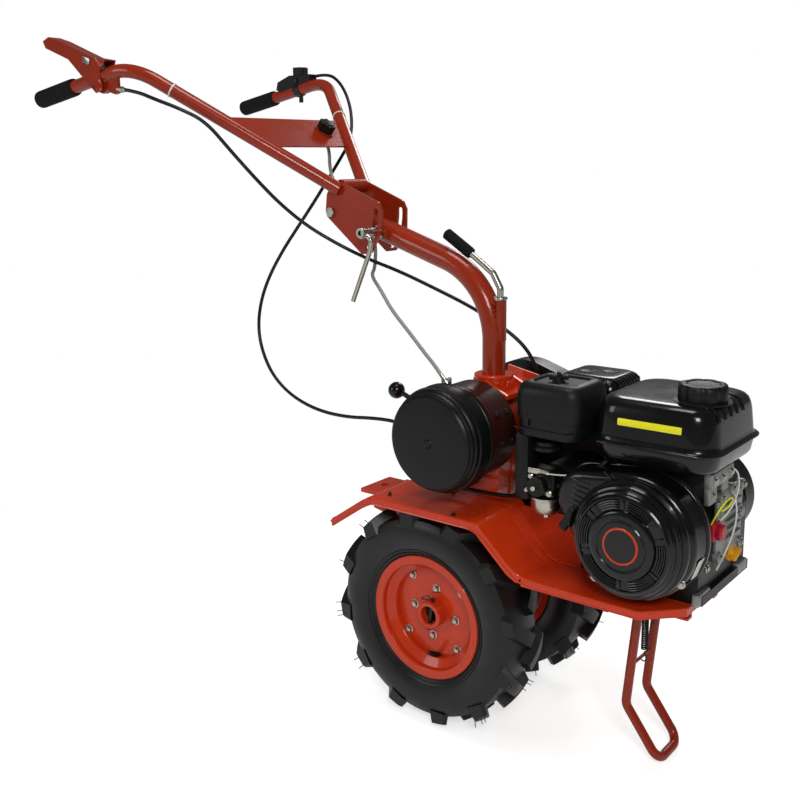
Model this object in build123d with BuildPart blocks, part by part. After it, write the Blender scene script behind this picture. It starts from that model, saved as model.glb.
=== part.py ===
from build123d import *
import os
from math import atan2, cos, degrees, hypot, radians, sin, tan

os.makedirs("parts", exist_ok=True)

# A two-wheel hand tractor: an engine in front, two lugged wheels on one axle, a swivelling
# column behind them and a tilting handlebar. Lengths are in millimetres. Every x below is
# measured forward from the axle, every y to the left of the middle, every z up from the axle.

# Wheels
tyre_radius = 205.0
tyre_width = 100.0
wheel_track = 240.0
carcass_drop = 18.0
shoulder_drop = 9.0
bead_radius = 101.6
flange_height = 12.4
rim_half_width = 38.0
rim_sheet = 3.5
well_depth = 15.0
disc_setback = 32.0
lug_count = 12
lug_width = 25.0
lug_sweep = 40.0
hub_radius = 25.0
hub_reach = 28.0
hub_inner_reach = 46.0
hub_flange_radius = 62.0
hub_flange = 6.0
shaft_radius = 17.0
shaft_fit = 0.05
shaft_recess = 16.0

# Gear case, frame rails and sheet metal
axle_ahead_of_middle = 190.0
case_half = 45.0
case_axle_radius = 62.0
case_top_radius = 55.0
gearbox_x = 34.0
gearbox_gap = 25.0
case_rim = 8.0
case_rim_half = 6.0
rail_height = 42.0
rail_web = 4.0
rail_flange = 17.0
rail_top = 127.0
rail_back = 18.0
rail_front = 452.0
sheet = 3.0
fender_gap = 8.0
fender_reach = 190.0
fender_back = -100.0
fender_front = 133.0
fender_tail = 95.0
fender_tail_drop = 65.0
fender_bend = 14.0
fender_lip = 12.0
bed_reach = 165.0
bed_back = 205.0
bed_front = 470.0
bed_corner = 55.0
bed_lip = 14.0
side_plate_gap = 1.0
side_plate_front = 262.0
hitch_back = -245.0
hitch_z = 165.0
hitch_plate = 8.0
hitch_pin_radius = 9.0
hitch_pin_x = -218.0

# Output drum, its cap and the belt guard
drum_radius = 85.0
drum_reach = 130.0
cap_radius = 93.0
cap_reach = 190.0
cap_ring = 34.0
cap_step = 6.0
guard_inner = 118.0
guard_outer = 165.0
guard_gearbox_radius = 95.0
guard_engine_radius = 80.0
input_radius = 58.0

# Engine
crank_x = 392.0
crank_rise = 20.0
crank_radius = 12.5
block_front = 86.0
block_back = 82.0
block_right = 92.0
block_left = 100.0
block_base = 16.0
block_foot = 8.0
block_top = 94.0
barrel_half = 62.0
barrel_length = 70.0
fin_count = 8
fin_thickness = 3.2
fin_depth = 11.0
head_length = 46.0
rocker_length = 22.0
blower_radius = 104.0
blower_depth = 56.0
recoil_radius = 95.0
recoil_depth = 38.0
badge_radius = 34.0
badge_height = 2.0
ring_radius = 72.0
ring_width = 5.0
louvre_count = 16
louvre_width = 7.0
louvre_depth = 6.0
starter_y = 165.0
tank_x = 402.5
tank_y = -25.0
tank_length = 205.0
tank_width = 210.0
tank_rise = 106.0
tank_lower = 32.0
tank_height = 103.0
tank_taper = 7.0
tank_corner = 38.0
tank_lip = 6.0
filler_x = 458.0
filler_y = -56.0
filler_radius = 38.5
filler_height = 27.0
filler_flute = 5.0
airbox_x = 229.0
airbox_y = -82.5
airbox_length = 120.0
airbox_width = 115.0
airbox_rise = 127.0
airbox_height = 90.0
airbox_lid = 58.0
airbox_corner = 24.0
muffler_x = 228.0
muffler_y = 47.0
muffler_length = 120.0
muffler_width = 114.0
muffler_rise = 116.0
muffler_height = 93.0
muffler_corner = 20.0

# Column and its socket
column_x = 41.0
column_radius = 21.0
column_fit = 0.05
column_bend_z = 594.0
column_slope = 18.0
column_bend_radius = 150.0
column_back = -330.0
socket_plate = 8.0
bracket_y = 84.0
socket_plate_back = -12.0
socket_plate_front = 96.0
socket_radius = 35.0
socket_height = 27.0
pin_tube_radius = 11.0
pin_tube_x = 54.0
pin_tube_drop = 33.0
pin_tube_length = 73.0
lock_rod_radius = 6.0
lock_grip_radius = 10.0
lock_grip_length = 48.0

# Handlebar
pivot_x = -311.0
pivot_bolt_radius = 6.0
pivot_fit = 0.05
clamp_distance = 111.0
clamp_bolt_radius = 5.0
clamp_slack = 0.6
tilt_down = 16.0
tilt_up = 18.0
clamp_plate = 5.0
clamp_plate_y = 34.0
cross_tube_radius = 13.0
cross_tube = (20.0, 49.6)
handle_radius = 13.0
handle_foot = (12.0, 44.0, 49.6)
handle_bend = (-291.0, 269.0, 276.6)
handle_end = (-575.0, 280.0, 225.6)
handle_bend_radius = 110.0
grip_radius = 17.0
grip_length = 118.0
cross_plate_low = 0.335
cross_plate_high = 0.575
knob_radius = 15.0
knob_height = 18.0
knob_place = (83.0, 50.0)
throttle_knob = (-376.0, 293.0)
throttle_bolt = 232.0
bolt_head = 6.0
bolt_gap = 0.3
spacer_radius = 12.0
clamp_boss = 75.0
lever_inner = 17.0
lever_outer = 20.0
lever_pin = (-379.0, 239.6)
lever_pin_radius = 3.0
cable_radius = 3.5

# Stand
stand_radius = 8.0
stand_pivot_x = 352.0
stand_pivot_z = 66.0
stand_foot_x = 397.0
stand_knee_x = 334.0
stand_knee_z = -112.0
stand_right = -28.0
stand_left = 52.0
stand_rod_radius = 5.0
stand_rod_fit = 0.05
stand_rod_z = -40.0
stand_eye_radius = 11.0
stand_ear = 4.0
stand_ear_radius = 14.0
stand_side_gap = 0.4
stand_bend_radius = 22.0
spring_rod_radius = 3.0
spring_radius = 6.5
spring_hook_radius = 1.5
spring_hook = 12.0
spring_coil = 74.0

ground = -tyre_radius
fender_top = tyre_radius + fender_gap + sheet
gearbox_z = fender_top + gearbox_gap + guard_gearbox_radius
crank_z = fender_top + crank_rise
side_plate_y = barrel_half + side_plate_gap
socket_plate_z = gearbox_z + case_top_radius
tank_bottom = crank_z + tank_rise
tank_seam = tank_bottom + tank_lower
tank_top = tank_bottom + tank_height
airbox_bottom = crank_z + airbox_rise
airbox_top = airbox_bottom + airbox_height
muffler_bottom = crank_z + muffler_rise
muffler_top = muffler_bottom + muffler_height
slope = tan(radians(column_slope))
pivot_z = column_bend_z + (column_x - pivot_x) * slope
wheel_sides = {"right": -1, "left": 1}


def side_plane(y=0.0):
    """A plane facing right at this y: its own x runs forward, its own y runs up."""
    return Plane(origin=(axle_ahead_of_middle, y, tyre_radius), x_dir=(1, 0, 0), z_dir=(0, -1, 0))


def level(z=0.0):
    """A level plane at this height above the axle: x forward, y to the left."""
    return Plane(origin=(axle_ahead_of_middle, 0, tyre_radius + z))


def across(x=0.0):
    """A plane facing forward at this x: its own x runs left, its own y runs up."""
    return Plane(origin=(axle_ahead_of_middle + x, 0, tyre_radius), x_dir=(0, 1, 0), z_dir=(1, 0, 0))


def at(x, y, z):
    """A point given from the axle, in the model's own frame."""
    return Vector(axle_ahead_of_middle + x, y, tyre_radius + z)


def on_bar(x, y, z):
    """A point on the handlebar, given from its pivot bolt."""
    return at(pivot_x + x, y, pivot_z + z)


def bar_plane(y=0.0):
    """The side plane at this y with its origin at the handlebar's pivot bolt."""
    return Plane(origin=on_bar(0, y, 0), x_dir=(1, 0, 0), z_dir=(0, -1, 0))


def cable(name, places):
    """A cable through these places, its bends as wide as the shorter run beside each allows."""
    points = [at(*place) for place in places]
    bends = []
    for before, corner, after in zip(points, points[1:], points[2:]):
        run_in, run_out = corner - before, after - corner
        half_turn = radians(run_in.get_angle(run_out) / 2)
        bends.append(0.45 * min(run_in.length, run_out.length) / tan(half_turn))
    print(name, "bends from", round(min(bends)), "to", round(max(bends)), "mm")
    write(name, bent_bar(points, bends, cable_radius))


def bent_bar(points, bend, radius):
    """A round bar or tube of this radius along straight runs joined by arcs."""
    with BuildPart() as bar:
        with BuildLine() as path:
            if len(points) > 2:
                FilletPolyline(*points, radius=bend)
            else:
                Line(*points)
        with BuildSketch(Plane(origin=path.line @ 0, z_dir=path.line % 0)):
            Circle(radius)
        sweep()
    return bar.part


def write(name, part):
    """Label a finished piece and write it out."""
    part.label = name
    export_step(part, f"parts/{name}.step")


# Wheels: a lugged tyre on a pressed rim, bolted to the hub that turns on the axle shaft
carcass_radius = tyre_radius - carcass_drop
shoulder_radius = tyre_radius - shoulder_drop
flange_radius = bead_radius + flange_height
well_radius = bead_radius - well_depth
disc_outer = rim_half_width - disc_setback
disc_inner = disc_outer - rim_sheet
half_tread = tyre_width / 2
lug_root = carcass_radius - carcass_drop
sidewall_start = rim_half_width - rim_sheet
shaft_end = wheel_track / 2 + hub_reach - shaft_recess

with BuildPart() as lug_space:
    with BuildSketch(Plane.XZ):
        with BuildLine():
            tip = half_tread - 4
            Polyline((shoulder_radius, -tip), (lug_root - 5, -half_tread),
                     (lug_root - 5, half_tread), (shoulder_radius, tip))
            ThreePointArc((shoulder_radius, tip), (tyre_radius, 0), (shoulder_radius, -tip))
        make_face()
    revolve(axis=Axis.Z)

for side, sign in wheel_sides.items():
    centre = at(0, sign * wheel_track / 2, 0)
    wheel_axis = Axis(centre, (0, 1, 0))
    section = Plane(origin=centre, x_dir=(1, 0, 0), z_dir=(0, 0, sign))
    hub_plane = Plane(origin=centre, x_dir=(1, 0, 0), z_dir=(0, sign, 0))

    lugs = {}
    for half in (1, -1):
        shoulder = Vector(-sign * lug_sweep, half * half_tread)
        with BuildPart() as lug:
            with BuildSketch(Plane(origin=(lug_root, 0, 0), x_dir=(0, 1, 0), z_dir=(1, 0, 0))):
                with Locations(shoulder / 2):
                    Rectangle(shoulder.length * 1.1, lug_width + 8,
                              rotation=degrees(atan2(shoulder.Y, shoulder.X)))
            extrude(amount=tyre_radius - lug_root + 5, taper=8)
            add(lug_space.part, mode=Mode.INTERSECT)
        lugs[half] = lug.part

    with BuildPart(hub_plane) as tyre:
        with BuildSketch(section):
            with BuildLine():
                Polyline((flange_radius, -sidewall_start), (bead_radius, -sidewall_start),
                         (bead_radius, sidewall_start), (flange_radius, sidewall_start))
                bulge = ((flange_radius + carcass_radius) / 2, half_tread)
                edge = (carcass_radius - 5, half_tread - 9)
                ThreePointArc((flange_radius, sidewall_start), bulge, edge)
                ThreePointArc(edge, (carcass_radius, 0), (edge[0], -edge[1]))
                ThreePointArc((edge[0], -edge[1]), (bulge[0], -bulge[1]), (flange_radius, -sidewall_start))
            make_face()
        revolve(axis=wheel_axis)
        with PolarLocations(0, lug_count):
            add(lugs[1])
        with PolarLocations(0, lug_count, start_angle=180 / lug_count):
            add(lugs[-1])
    write(f"tyre_{side}", tyre.part)

    with BuildPart() as rim:
        with BuildSketch(section):
            with BuildLine():
                bead_seat = rim_half_width - rim_sheet
                Polyline((flange_radius, bead_seat), (bead_radius, bead_seat),
                         (bead_radius, bead_seat - 10), (well_radius, bead_seat - 20),
                         (well_radius, 20 - bead_seat), (bead_radius, 10 - bead_seat),
                         (bead_radius, -bead_seat), (flange_radius, -bead_seat))
                offset(amount=rim_sheet, side=Side.RIGHT)
            make_face()
            with Locations(((well_radius + hub_radius) / 2, disc_outer - rim_sheet / 2)):
                Rectangle(well_radius - hub_radius, rim_sheet)
        revolve(axis=wheel_axis)
    write(f"rim_{side}", rim.part)

    with BuildPart() as hub:
        with BuildSketch(section):
            Polygon((shaft_radius, -hub_inner_reach), (hub_radius, -hub_inner_reach),
                    (hub_radius, disc_inner - hub_flange), (hub_flange_radius, disc_inner - hub_flange),
                    (hub_flange_radius, disc_inner), (hub_radius, disc_inner),
                    (hub_radius, hub_reach), (shaft_radius, hub_reach), align=None)
        revolve(axis=wheel_axis)
        chamfer(hub.edges().filter_by(GeomType.CIRCLE).group_by(Axis.Y)[-1 if sign > 0 else 0], 1.0)
    write(f"hub_{side}", hub.part)

with BuildPart() as axle_shaft:
    for sign in wheel_sides.values():
        with BuildSketch(side_plane(sign * case_half)):
            Circle(shaft_radius - shaft_fit)
        extrude(amount=-sign * (shaft_end - case_half))
write("axle_shaft", axle_shaft.part)

# Gear case: two halves bolted along the middle, from the axle up to the gearbox
cases = {}
for side, sign in wheel_sides.items():
    with BuildPart() as gear_case:
        for grow, depth in ((0.0, case_half), (case_rim, case_rim_half)):
            with BuildSketch(side_plane()):
                Circle(case_axle_radius + grow)
                with Locations((gearbox_x, gearbox_z)):
                    Circle(case_top_radius)
                make_hull()
            extrude(amount=-sign * depth)
        if side == "left":
            with BuildSketch(side_plane(case_half)):
                with Locations((gearbox_x, gearbox_z)):
                    Circle(input_radius)
            extrude(amount=case_half - guard_inner)
    cases[sign] = gear_case.part
    write(f"gear_case_{side}", gear_case.part)

with BuildPart() as output_drum:
    with BuildSketch(side_plane(-case_half)):
        with Locations((gearbox_x, gearbox_z)):
            Circle(drum_radius)
    extrude(amount=drum_reach - case_half)
write("output_drum", output_drum.part)

with BuildPart() as output_cap:
    with BuildSketch(side_plane(-drum_reach)):
        with Locations((gearbox_x, gearbox_z)):
            Circle(cap_radius)
    extrude(amount=cap_ring)
    with BuildSketch(side_plane(-drum_reach - cap_ring)):
        with Locations((gearbox_x, gearbox_z)):
            Circle(cap_radius - cap_step)
    extrude(amount=cap_reach - drum_reach - cap_ring)
    fillet(output_cap.edges().filter_by(GeomType.CIRCLE).group_by(Axis.Y)[0], 10)
write("output_cap", output_cap.part)

with BuildPart() as belt_guard:
    with BuildSketch(side_plane(guard_inner)):
        with Locations((gearbox_x, gearbox_z)):
            Circle(guard_gearbox_radius)
        with Locations((crank_x, crank_z)):
            Circle(guard_engine_radius)
        make_hull()
    extrude(amount=-(guard_outer - guard_inner))
    fillet(belt_guard.faces().sort_by(Axis.Y)[-1].edges(), 10)
write("belt_guard", belt_guard.part)

# Frame: two rails bolted to the gear case carry the bed, and the fenders run down to it
bed_top = rail_top + sheet
rail_web_y = case_half
case_rear = -45.0
for side, sign in wheel_sides.items():
    with BuildPart() as rail:
        with BuildSketch(across(rail_back)):
            with BuildLine():
                Polyline((sign * (rail_web_y + rail_flange), rail_top - rail_height),
                         (sign * rail_web_y, rail_top - rail_height),
                         (sign * rail_web_y, rail_top), (sign * (rail_web_y + rail_flange), rail_top))
                offset(amount=rail_web, side=Side.RIGHT if sign > 0 else Side.LEFT)
            make_face()
        extrude(amount=rail_front - rail_back)
    write(f"frame_rail_{side}", rail.part)

fender_line = [
    (fender_back - fender_tail, fender_top - fender_tail_drop), (fender_back, fender_top),
    (fender_front, fender_top), (fender_front + 57, bed_top + 12), (bed_back, bed_top),
]
for side, sign in wheel_sides.items():
    plan = [(fender_back - fender_tail, sign * side_plate_y), (fender_back - fender_tail, sign * fender_reach),
            (fender_front, sign * fender_reach), (bed_back, sign * bed_reach), (bed_back, sign * case_half),
            (case_rear, sign * case_half), (case_rear, sign * side_plate_y)]
    with BuildPart() as fender:
        with BuildSketch(side_plane(sign * case_half)):
            with BuildLine():
                FilletPolyline(*fender_line, radius=fender_bend)
                offset(amount=sheet, side=Side.RIGHT)
            make_face()
        extrude(amount=-sign * (fender_reach - case_half))
        with BuildSketch(level(ground)):
            Polygon(*plan, align=None)
        extrude(amount=2 * tyre_radius + fender_top, mode=Mode.INTERSECT)
    with BuildPart() as lip:
        with BuildSketch(side_plane(sign * case_half)):
            with BuildLine():
                FilletPolyline(*fender_line, radius=fender_bend)
                offset(amount=fender_lip, side=Side.RIGHT)
            make_face()
        extrude(amount=-sign * (fender_reach - case_half))
        with BuildSketch(level(ground)):
            inset = [(x, y - sign * sheet) for x, y in plan[1:4]]
            Polygon(*plan[1:4], *reversed(inset), align=None)
        extrude(amount=2 * tyre_radius + fender_top, mode=Mode.INTERSECT)
    with BuildPart() as fender_whole:
        with BuildSketch(side_plane(sign * side_plate_y)):
            Polygon((fender_front, fender_top - 1), (side_plate_front - 30, fender_top),
                    (side_plate_front, bed_top + 60), (side_plate_front, bed_top), (bed_back, bed_top),
                    (bed_back, bed_top - 1), (fender_front + 57, bed_top + 11), align=None)
        extrude(amount=-sign * sheet)
        add(fender.part)
        add(lip.part)
    write(f"fender_{side}", fender_whole.part)

with BuildPart() as bed:
    with BuildSketch(level(bed_top - bed_lip)):
        Polygon((bed_back, -bed_reach), (bed_front - bed_corner, -bed_reach),
                (bed_front, -bed_reach + bed_corner), (bed_front, bed_reach - bed_corner),
                (bed_front - bed_corner, bed_reach), (bed_back, bed_reach), align=None)
    extrude(amount=bed_lip)
    with BuildSketch(level(bed_top - bed_lip)):
        Polygon((bed_back - 1, -bed_reach + sheet), (bed_front - bed_corner - 1, -bed_reach + sheet),
                (bed_front - sheet, -bed_reach + bed_corner + 1),
                (bed_front - sheet, bed_reach - bed_corner - 1),
                (bed_front - bed_corner - 1, bed_reach - sheet), (bed_back - 1, bed_reach - sheet),
                align=None)
    extrude(amount=bed_lip - sheet, mode=Mode.SUBTRACT)
write("engine_bed", bed.part)

with BuildPart() as hitch:
    with BuildSketch(level(hitch_z - hitch_plate)):
        with Locations(((hitch_back - 60) / 2, 0)):
            Rectangle(-60 - hitch_back, 2 * case_half)
    extrude(amount=hitch_plate)
    for sign in wheel_sides.values():
        with BuildSketch(side_plane(sign * case_half)):
            Polygon((hitch_back + 40, hitch_z), (hitch_back + 40, hitch_z - 30), (-30, hitch_z - 62),
                    (5, hitch_z - 62), (5, hitch_z), align=None)
        extrude(amount=-sign * hitch_plate)
    with BuildSketch(level(hitch_z - hitch_plate)):
        with Locations((hitch_pin_x, 0)):
            Circle(hitch_pin_radius)
    extrude(amount=hitch_plate, mode=Mode.SUBTRACT)
write("hitch_bracket", hitch.part)

# Column socket on the gear case
socket_top = socket_plate_z + socket_plate
with BuildPart() as socket:
    with BuildSketch(level(socket_plate_z)):
        with Locations(((socket_plate_back + socket_plate_front) / 2, 0)):
            Rectangle(socket_plate_front - socket_plate_back, 2 * case_half - 6)
    extrude(amount=socket_plate)
    with BuildSketch(level(socket_top)):
        with Locations((column_x, 0)):
            Circle(socket_radius)
            Circle(column_radius + column_fit, mode=Mode.SUBTRACT)
    extrude(amount=socket_height)
    for sign in wheel_sides.values():
        with BuildSketch(side_plane(sign * (case_half - 3))):
            Polygon((column_x + 8, socket_top), (column_x + 8, socket_top + 22),
                    (socket_plate_front, socket_top), align=None)
        extrude(amount=sign * 6)
    with BuildSketch(side_plane(bracket_y)):
        Polygon((17, socket_top), (17, socket_top + 27), (84, socket_top + 14), (84, socket_top), align=None)
    extrude(amount=-5)
    with BuildSketch(level(socket_top)):
        Polygon((17, socket_radius - 10), (60, socket_radius - 10), (84, bracket_y), (84, bracket_y + 5),
                (17, bracket_y + 5), align=None)
    extrude(amount=5)
write("column_socket", socket.part)

shift_rod = bent_bar([at(gearbox_x - 48, 24, gearbox_z - 32), at(-100, 24, gearbox_z - 18),
                      at(-199, 24, gearbox_z + 20)], 60, 5)
with BuildPart() as shift_lever:
    add(shift_rod)
    with Locations(at(-205, 24, gearbox_z + 23)):
        Sphere(14)
    add(cases[1], mode=Mode.SUBTRACT)
write("shift_lever", shift_lever.part)

# Engine
engine_base = bed_top
with BuildPart() as crankcase:
    with BuildSketch(side_plane(-block_right)):
        Polygon((crank_x - block_back, engine_base + block_base),
                (crank_x + block_front, engine_base + block_base),
                (crank_x + block_front, crank_z + 10), (crank_x + 60, crank_z + 70),
                (crank_x + 10, crank_z + block_top), (crank_x - 40, crank_z + block_top),
                (crank_x - block_back, crank_z + 60), align=None)
    extrude(amount=-(block_right + block_left))
    fillet(crankcase.edges().filter_by(Axis.Y).group_by(Axis.Z)[-1], 15)
    with BuildSketch(level(engine_base)):
        with Locations((crank_x + (block_front - block_back) / 2, (block_left - block_right) / 2)):
            Rectangle(block_front + block_back + 2 * block_foot, block_left + block_right)
    extrude(amount=block_base)
    with BuildSketch(side_plane(block_left)):
        with Locations((crank_x, crank_z)):
            Circle(crank_radius)
    extrude(amount=block_left - guard_inner)
    with BuildSketch(level(crank_z + block_top)):
        for y in (-60, 40):
            with Locations((crank_x - 15, y)):
                Rectangle(50, 24)
    extrude(amount=tank_bottom - crank_z - block_top)
write("crankcase", crankcase.part)

barrel_start = crank_x - block_back
with BuildPart() as cylinder:
    with BuildSketch(across(barrel_start)):
        with Locations((0, crank_z)):
            RectangleRounded(2 * (barrel_half - fin_depth), 2 * (barrel_half - fin_depth), 18)
    extrude(amount=-barrel_length)
    for fin in range(fin_count):
        with BuildSketch(across(barrel_start - (fin + 0.5) * barrel_length / fin_count)):
            with Locations((0, crank_z)):
                RectangleRounded(2 * barrel_half, 2 * barrel_half, 20)
        extrude(amount=-fin_thickness)
    with BuildSketch(across(barrel_start - barrel_length)):
        with Locations((0, crank_z)):
            RectangleRounded(2 * barrel_half, 2 * barrel_half, 12)
    extrude(amount=-head_length)
write("cylinder", cylinder.part)

with BuildPart() as rocker_cover:
    with BuildSketch(across(barrel_start - barrel_length - head_length)):
        with Locations((0, crank_z)):
            RectangleRounded(1.5 * barrel_half, 1.5 * barrel_half, 14)
    extrude(amount=-rocker_length, taper=6)
write("rocker_cover", rocker_cover.part)

with BuildPart() as blower:
    with BuildSketch(side_plane(-block_right)):
        with Locations((crank_x, crank_z)):
            Circle(blower_radius)
        with Locations((crank_x - 92, crank_z + 48)):
            Circle(46)
        make_hull()
    extrude(amount=blower_depth)
    fillet(blower.faces().sort_by(Axis.Y)[0].edges(), 8)
write("blower_housing", blower.part)

with BuildPart() as recoil:
    with BuildSketch(side_plane(-block_right - blower_depth)):
        with Locations((crank_x, crank_z)):
            Circle(recoil_radius)
    extrude(amount=recoil_depth)
    fillet(recoil.faces().sort_by(Axis.Y)[0].edges(), 16)
    recoil_face = side_plane(-block_right - blower_depth - recoil_depth)
    with BuildSketch(recoil_face):
        with Locations((crank_x, crank_z)):
            Circle(ring_radius)
            Circle(ring_radius - ring_width, mode=Mode.SUBTRACT)
    extrude(amount=badge_height)
    with BuildSketch(recoil_face):
        with Locations((crank_x, crank_z)):
            with PolarLocations((ring_radius + badge_radius) / 2 - ring_width / 2, louvre_count):
                SlotOverall(ring_radius - badge_radius - 2 * ring_width, louvre_width)
    extrude(amount=-louvre_depth, mode=Mode.SUBTRACT)
    with BuildSketch(side_plane(-block_right - blower_depth - recoil_depth)):
        with Locations((crank_x, crank_z)):
            Circle(badge_radius)
    extrude(amount=badge_height)
write("recoil_cover", recoil.part)

grip_base = Plane(origin=at(crank_x - 76, -starter_y, crank_z + 2), x_dir=(0.51, 0, 0.86), z_dir=(-0.86, 0, 0.51))
with BuildPart() as starter_grip:
    with BuildSketch(grip_base):
        Circle(9)
    extrude(amount=22)
    with BuildSketch(grip_base.offset(22)):
        SlotOverall(44, 15)
    extrude(amount=13)
    fillet(starter_grip.faces().sort_by(Axis(grip_base.origin, grip_base.z_dir))[-1].edges(), 3)
    add(recoil.part, mode=Mode.SUBTRACT)
write("starter_grip", starter_grip.part)

with BuildPart() as tank:
    for z, height in ((tank_seam, tank_top - tank_seam), (tank_seam, tank_bottom - tank_seam)):
        with BuildSketch(level(z)):
            with Locations((tank_x, tank_y)):
                RectangleRounded(tank_length, tank_width, tank_corner)
        extrude(amount=height, taper=tank_taper)
    fillet(tank.faces().sort_by(Axis.Z)[-1].edges(), 16)
    with BuildSketch(level(tank_seam)):
        with Locations((tank_x, tank_y)):
            RectangleRounded(tank_length + 2 * tank_lip, tank_width + 2 * tank_lip, tank_corner + tank_lip)
    extrude(amount=4)
write("fuel_tank", tank.part)

with BuildPart() as filler:
    with BuildSketch(level(tank_top)):
        with Locations((filler_x, filler_y)):
            Circle(filler_radius - filler_flute)
            with PolarLocations(filler_radius - 2 * filler_flute, 8):
                Circle(2 * filler_flute)
    extrude(amount=filler_height)
    fillet(filler.faces().sort_by(Axis.Z)[-1].edges(), 3)
write("fuel_cap", filler.part)

with BuildPart() as airbox:
    with BuildSketch(level(airbox_bottom)):
        with Locations((airbox_x, airbox_y)):
            RectangleRounded(airbox_length - 6, airbox_width - 6, airbox_corner - 3)
    extrude(amount=airbox_height)
    with BuildSketch(level(airbox_top - airbox_lid)):
        with Locations((airbox_x, airbox_y)):
            RectangleRounded(airbox_length, airbox_width, airbox_corner)
    extrude(amount=airbox_lid)
    fillet(airbox.faces().sort_by(Axis.Z)[-1].edges(), 10)
write("air_filter_box", airbox.part)

head_x = barrel_start - barrel_length - head_length / 2
with BuildPart() as carburettor:
    with BuildSketch(side_plane(-barrel_half)):
        with Locations((head_x, crank_z + 20)):
            RectangleRounded(44, 44, 8)
    extrude(amount=30)
    with BuildSketch(level(crank_z - 30)):
        with Locations((head_x, -barrel_half - 45)):
            Circle(25)
    extrude(amount=airbox_bottom - crank_z + 30 - 40)
    with BuildSketch(level(airbox_bottom - 40)):
        with Locations((head_x, -barrel_half - 45)):
            Circle(18)
    extrude(amount=40)
write("carburettor", carburettor.part)

with BuildPart() as muffler:
    with BuildSketch(level(muffler_bottom)):
        with Locations((muffler_x, muffler_y)):
            RectangleRounded(muffler_length, muffler_width, muffler_corner)
    extrude(amount=muffler_top - muffler_bottom)
    fillet(muffler.faces().sort_by(Axis.Z)[-1].edges(), 8)
    with BuildSketch(level(muffler_top)):
        with Locations((muffler_x, muffler_y)):
            for x in (-muffler_length / 2 + 20, muffler_length / 2 - 20):
                with Locations((x, 0)):
                    with GridLocations(1, 13, 1, 7):
                        SlotOverall(22, 6)
    extrude(amount=-5, mode=Mode.SUBTRACT)
    with BuildSketch(level(crank_z + barrel_half)):
        with Locations((head_x, 30)):
            Circle(17)
    extrude(amount=muffler_bottom - crank_z - barrel_half)
write("muffler", muffler.part)

with BuildPart() as dipstick:
    with BuildSketch(across(crank_x + block_front)):
        with Locations((25, engine_base + 50)):
            Circle(13)
    extrude(amount=16)
write("oil_dipstick", dipstick.part)

with BuildPart() as stop_switch:
    with BuildSketch(across(crank_x + block_front)):
        with Locations((-45, crank_z + 2)):
            Rectangle(34, 34)
    extrude(amount=12)
write("stop_switch", stop_switch.part)

# Column: one bent tube turning in the socket, with the pin that locks it
column_end_z = column_bend_z + (column_x - column_back) * slope
pin_tube_top = column_bend_z - pin_tube_drop
pin_tube_bottom = pin_tube_top - pin_tube_length
clamp_x = pivot_x + clamp_distance * cos(radians(column_slope))
clamp_z = pivot_z - clamp_distance * sin(radians(column_slope))
column_line = [at(column_x, 0, socket_top), at(column_x, 0, column_bend_z), at(column_back, 0, column_end_z)]

rod_start, rod_end = at(5, 0, column_bend_z + 37), at(-63, 0, column_bend_z + 80)
lock_rod = bent_bar([at(pin_tube_x, 0, pin_tube_bottom), at(pin_tube_x, 0, pin_tube_top + 20),
                     at(38, 0, column_bend_z + 14), rod_start, rod_end], 10, lock_rod_radius)
write("lock_rod", lock_rod)

column_tube = bent_bar(column_line, column_bend_radius, column_radius)
with BuildPart() as column:
    add(column_tube)
    with BuildSketch(level(pin_tube_bottom)):
        with Locations((pin_tube_x, 0)):
            Circle(pin_tube_radius)
    extrude(amount=pin_tube_top - pin_tube_bottom)
    with BuildSketch(level(pin_tube_bottom)):
        with Locations((pin_tube_x, 0)):
            Circle(lock_rod_radius)
    extrude(amount=pin_tube_top - pin_tube_bottom, mode=Mode.SUBTRACT)
    for x, z, radius in ((pivot_x, pivot_z, pivot_bolt_radius), (clamp_x, clamp_z, clamp_bolt_radius)):
        with BuildSketch(side_plane(column_radius + 1)):
            with Locations((x, z)):
                Circle(radius)
        extrude(amount=2 * column_radius + 2, mode=Mode.SUBTRACT)
write("column", column.part)

with BuildPart() as lock_grip:
    with BuildSketch(Plane(origin=rod_end, z_dir=rod_start - rod_end)):
        Circle(lock_grip_radius)
        Circle(lock_rod_radius, mode=Mode.SUBTRACT)
    extrude(amount=lock_grip_length)
write("lock_grip", lock_grip.part)

# Clamp: a pivot bolt and a screw with a bent handle hold the handlebar's plates
plate_outer = clamp_plate_y + clamp_plate
with BuildPart() as pivot_bolt:
    with BuildSketch(side_plane(plate_outer + bolt_gap)):
        with Locations((pivot_x, pivot_z)):
            Circle(pivot_bolt_radius)
    extrude(amount=2 * (plate_outer + bolt_gap))
    for sign in wheel_sides.values():
        with BuildSketch(side_plane(sign * (plate_outer + bolt_gap))):
            with Locations((pivot_x, pivot_z)):
                RegularPolygon(10, 6)
        extrude(amount=-sign * bolt_head)
    for sign in wheel_sides.values():
        with BuildSketch(side_plane(sign * column_radius)):
            with Locations((pivot_x, pivot_z)):
                Circle(spacer_radius)
                Circle(pivot_bolt_radius, mode=Mode.SUBTRACT)
        extrude(amount=-sign * (clamp_plate_y - bolt_gap - column_radius))
write("pivot_bolt", pivot_bolt.part)

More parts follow.
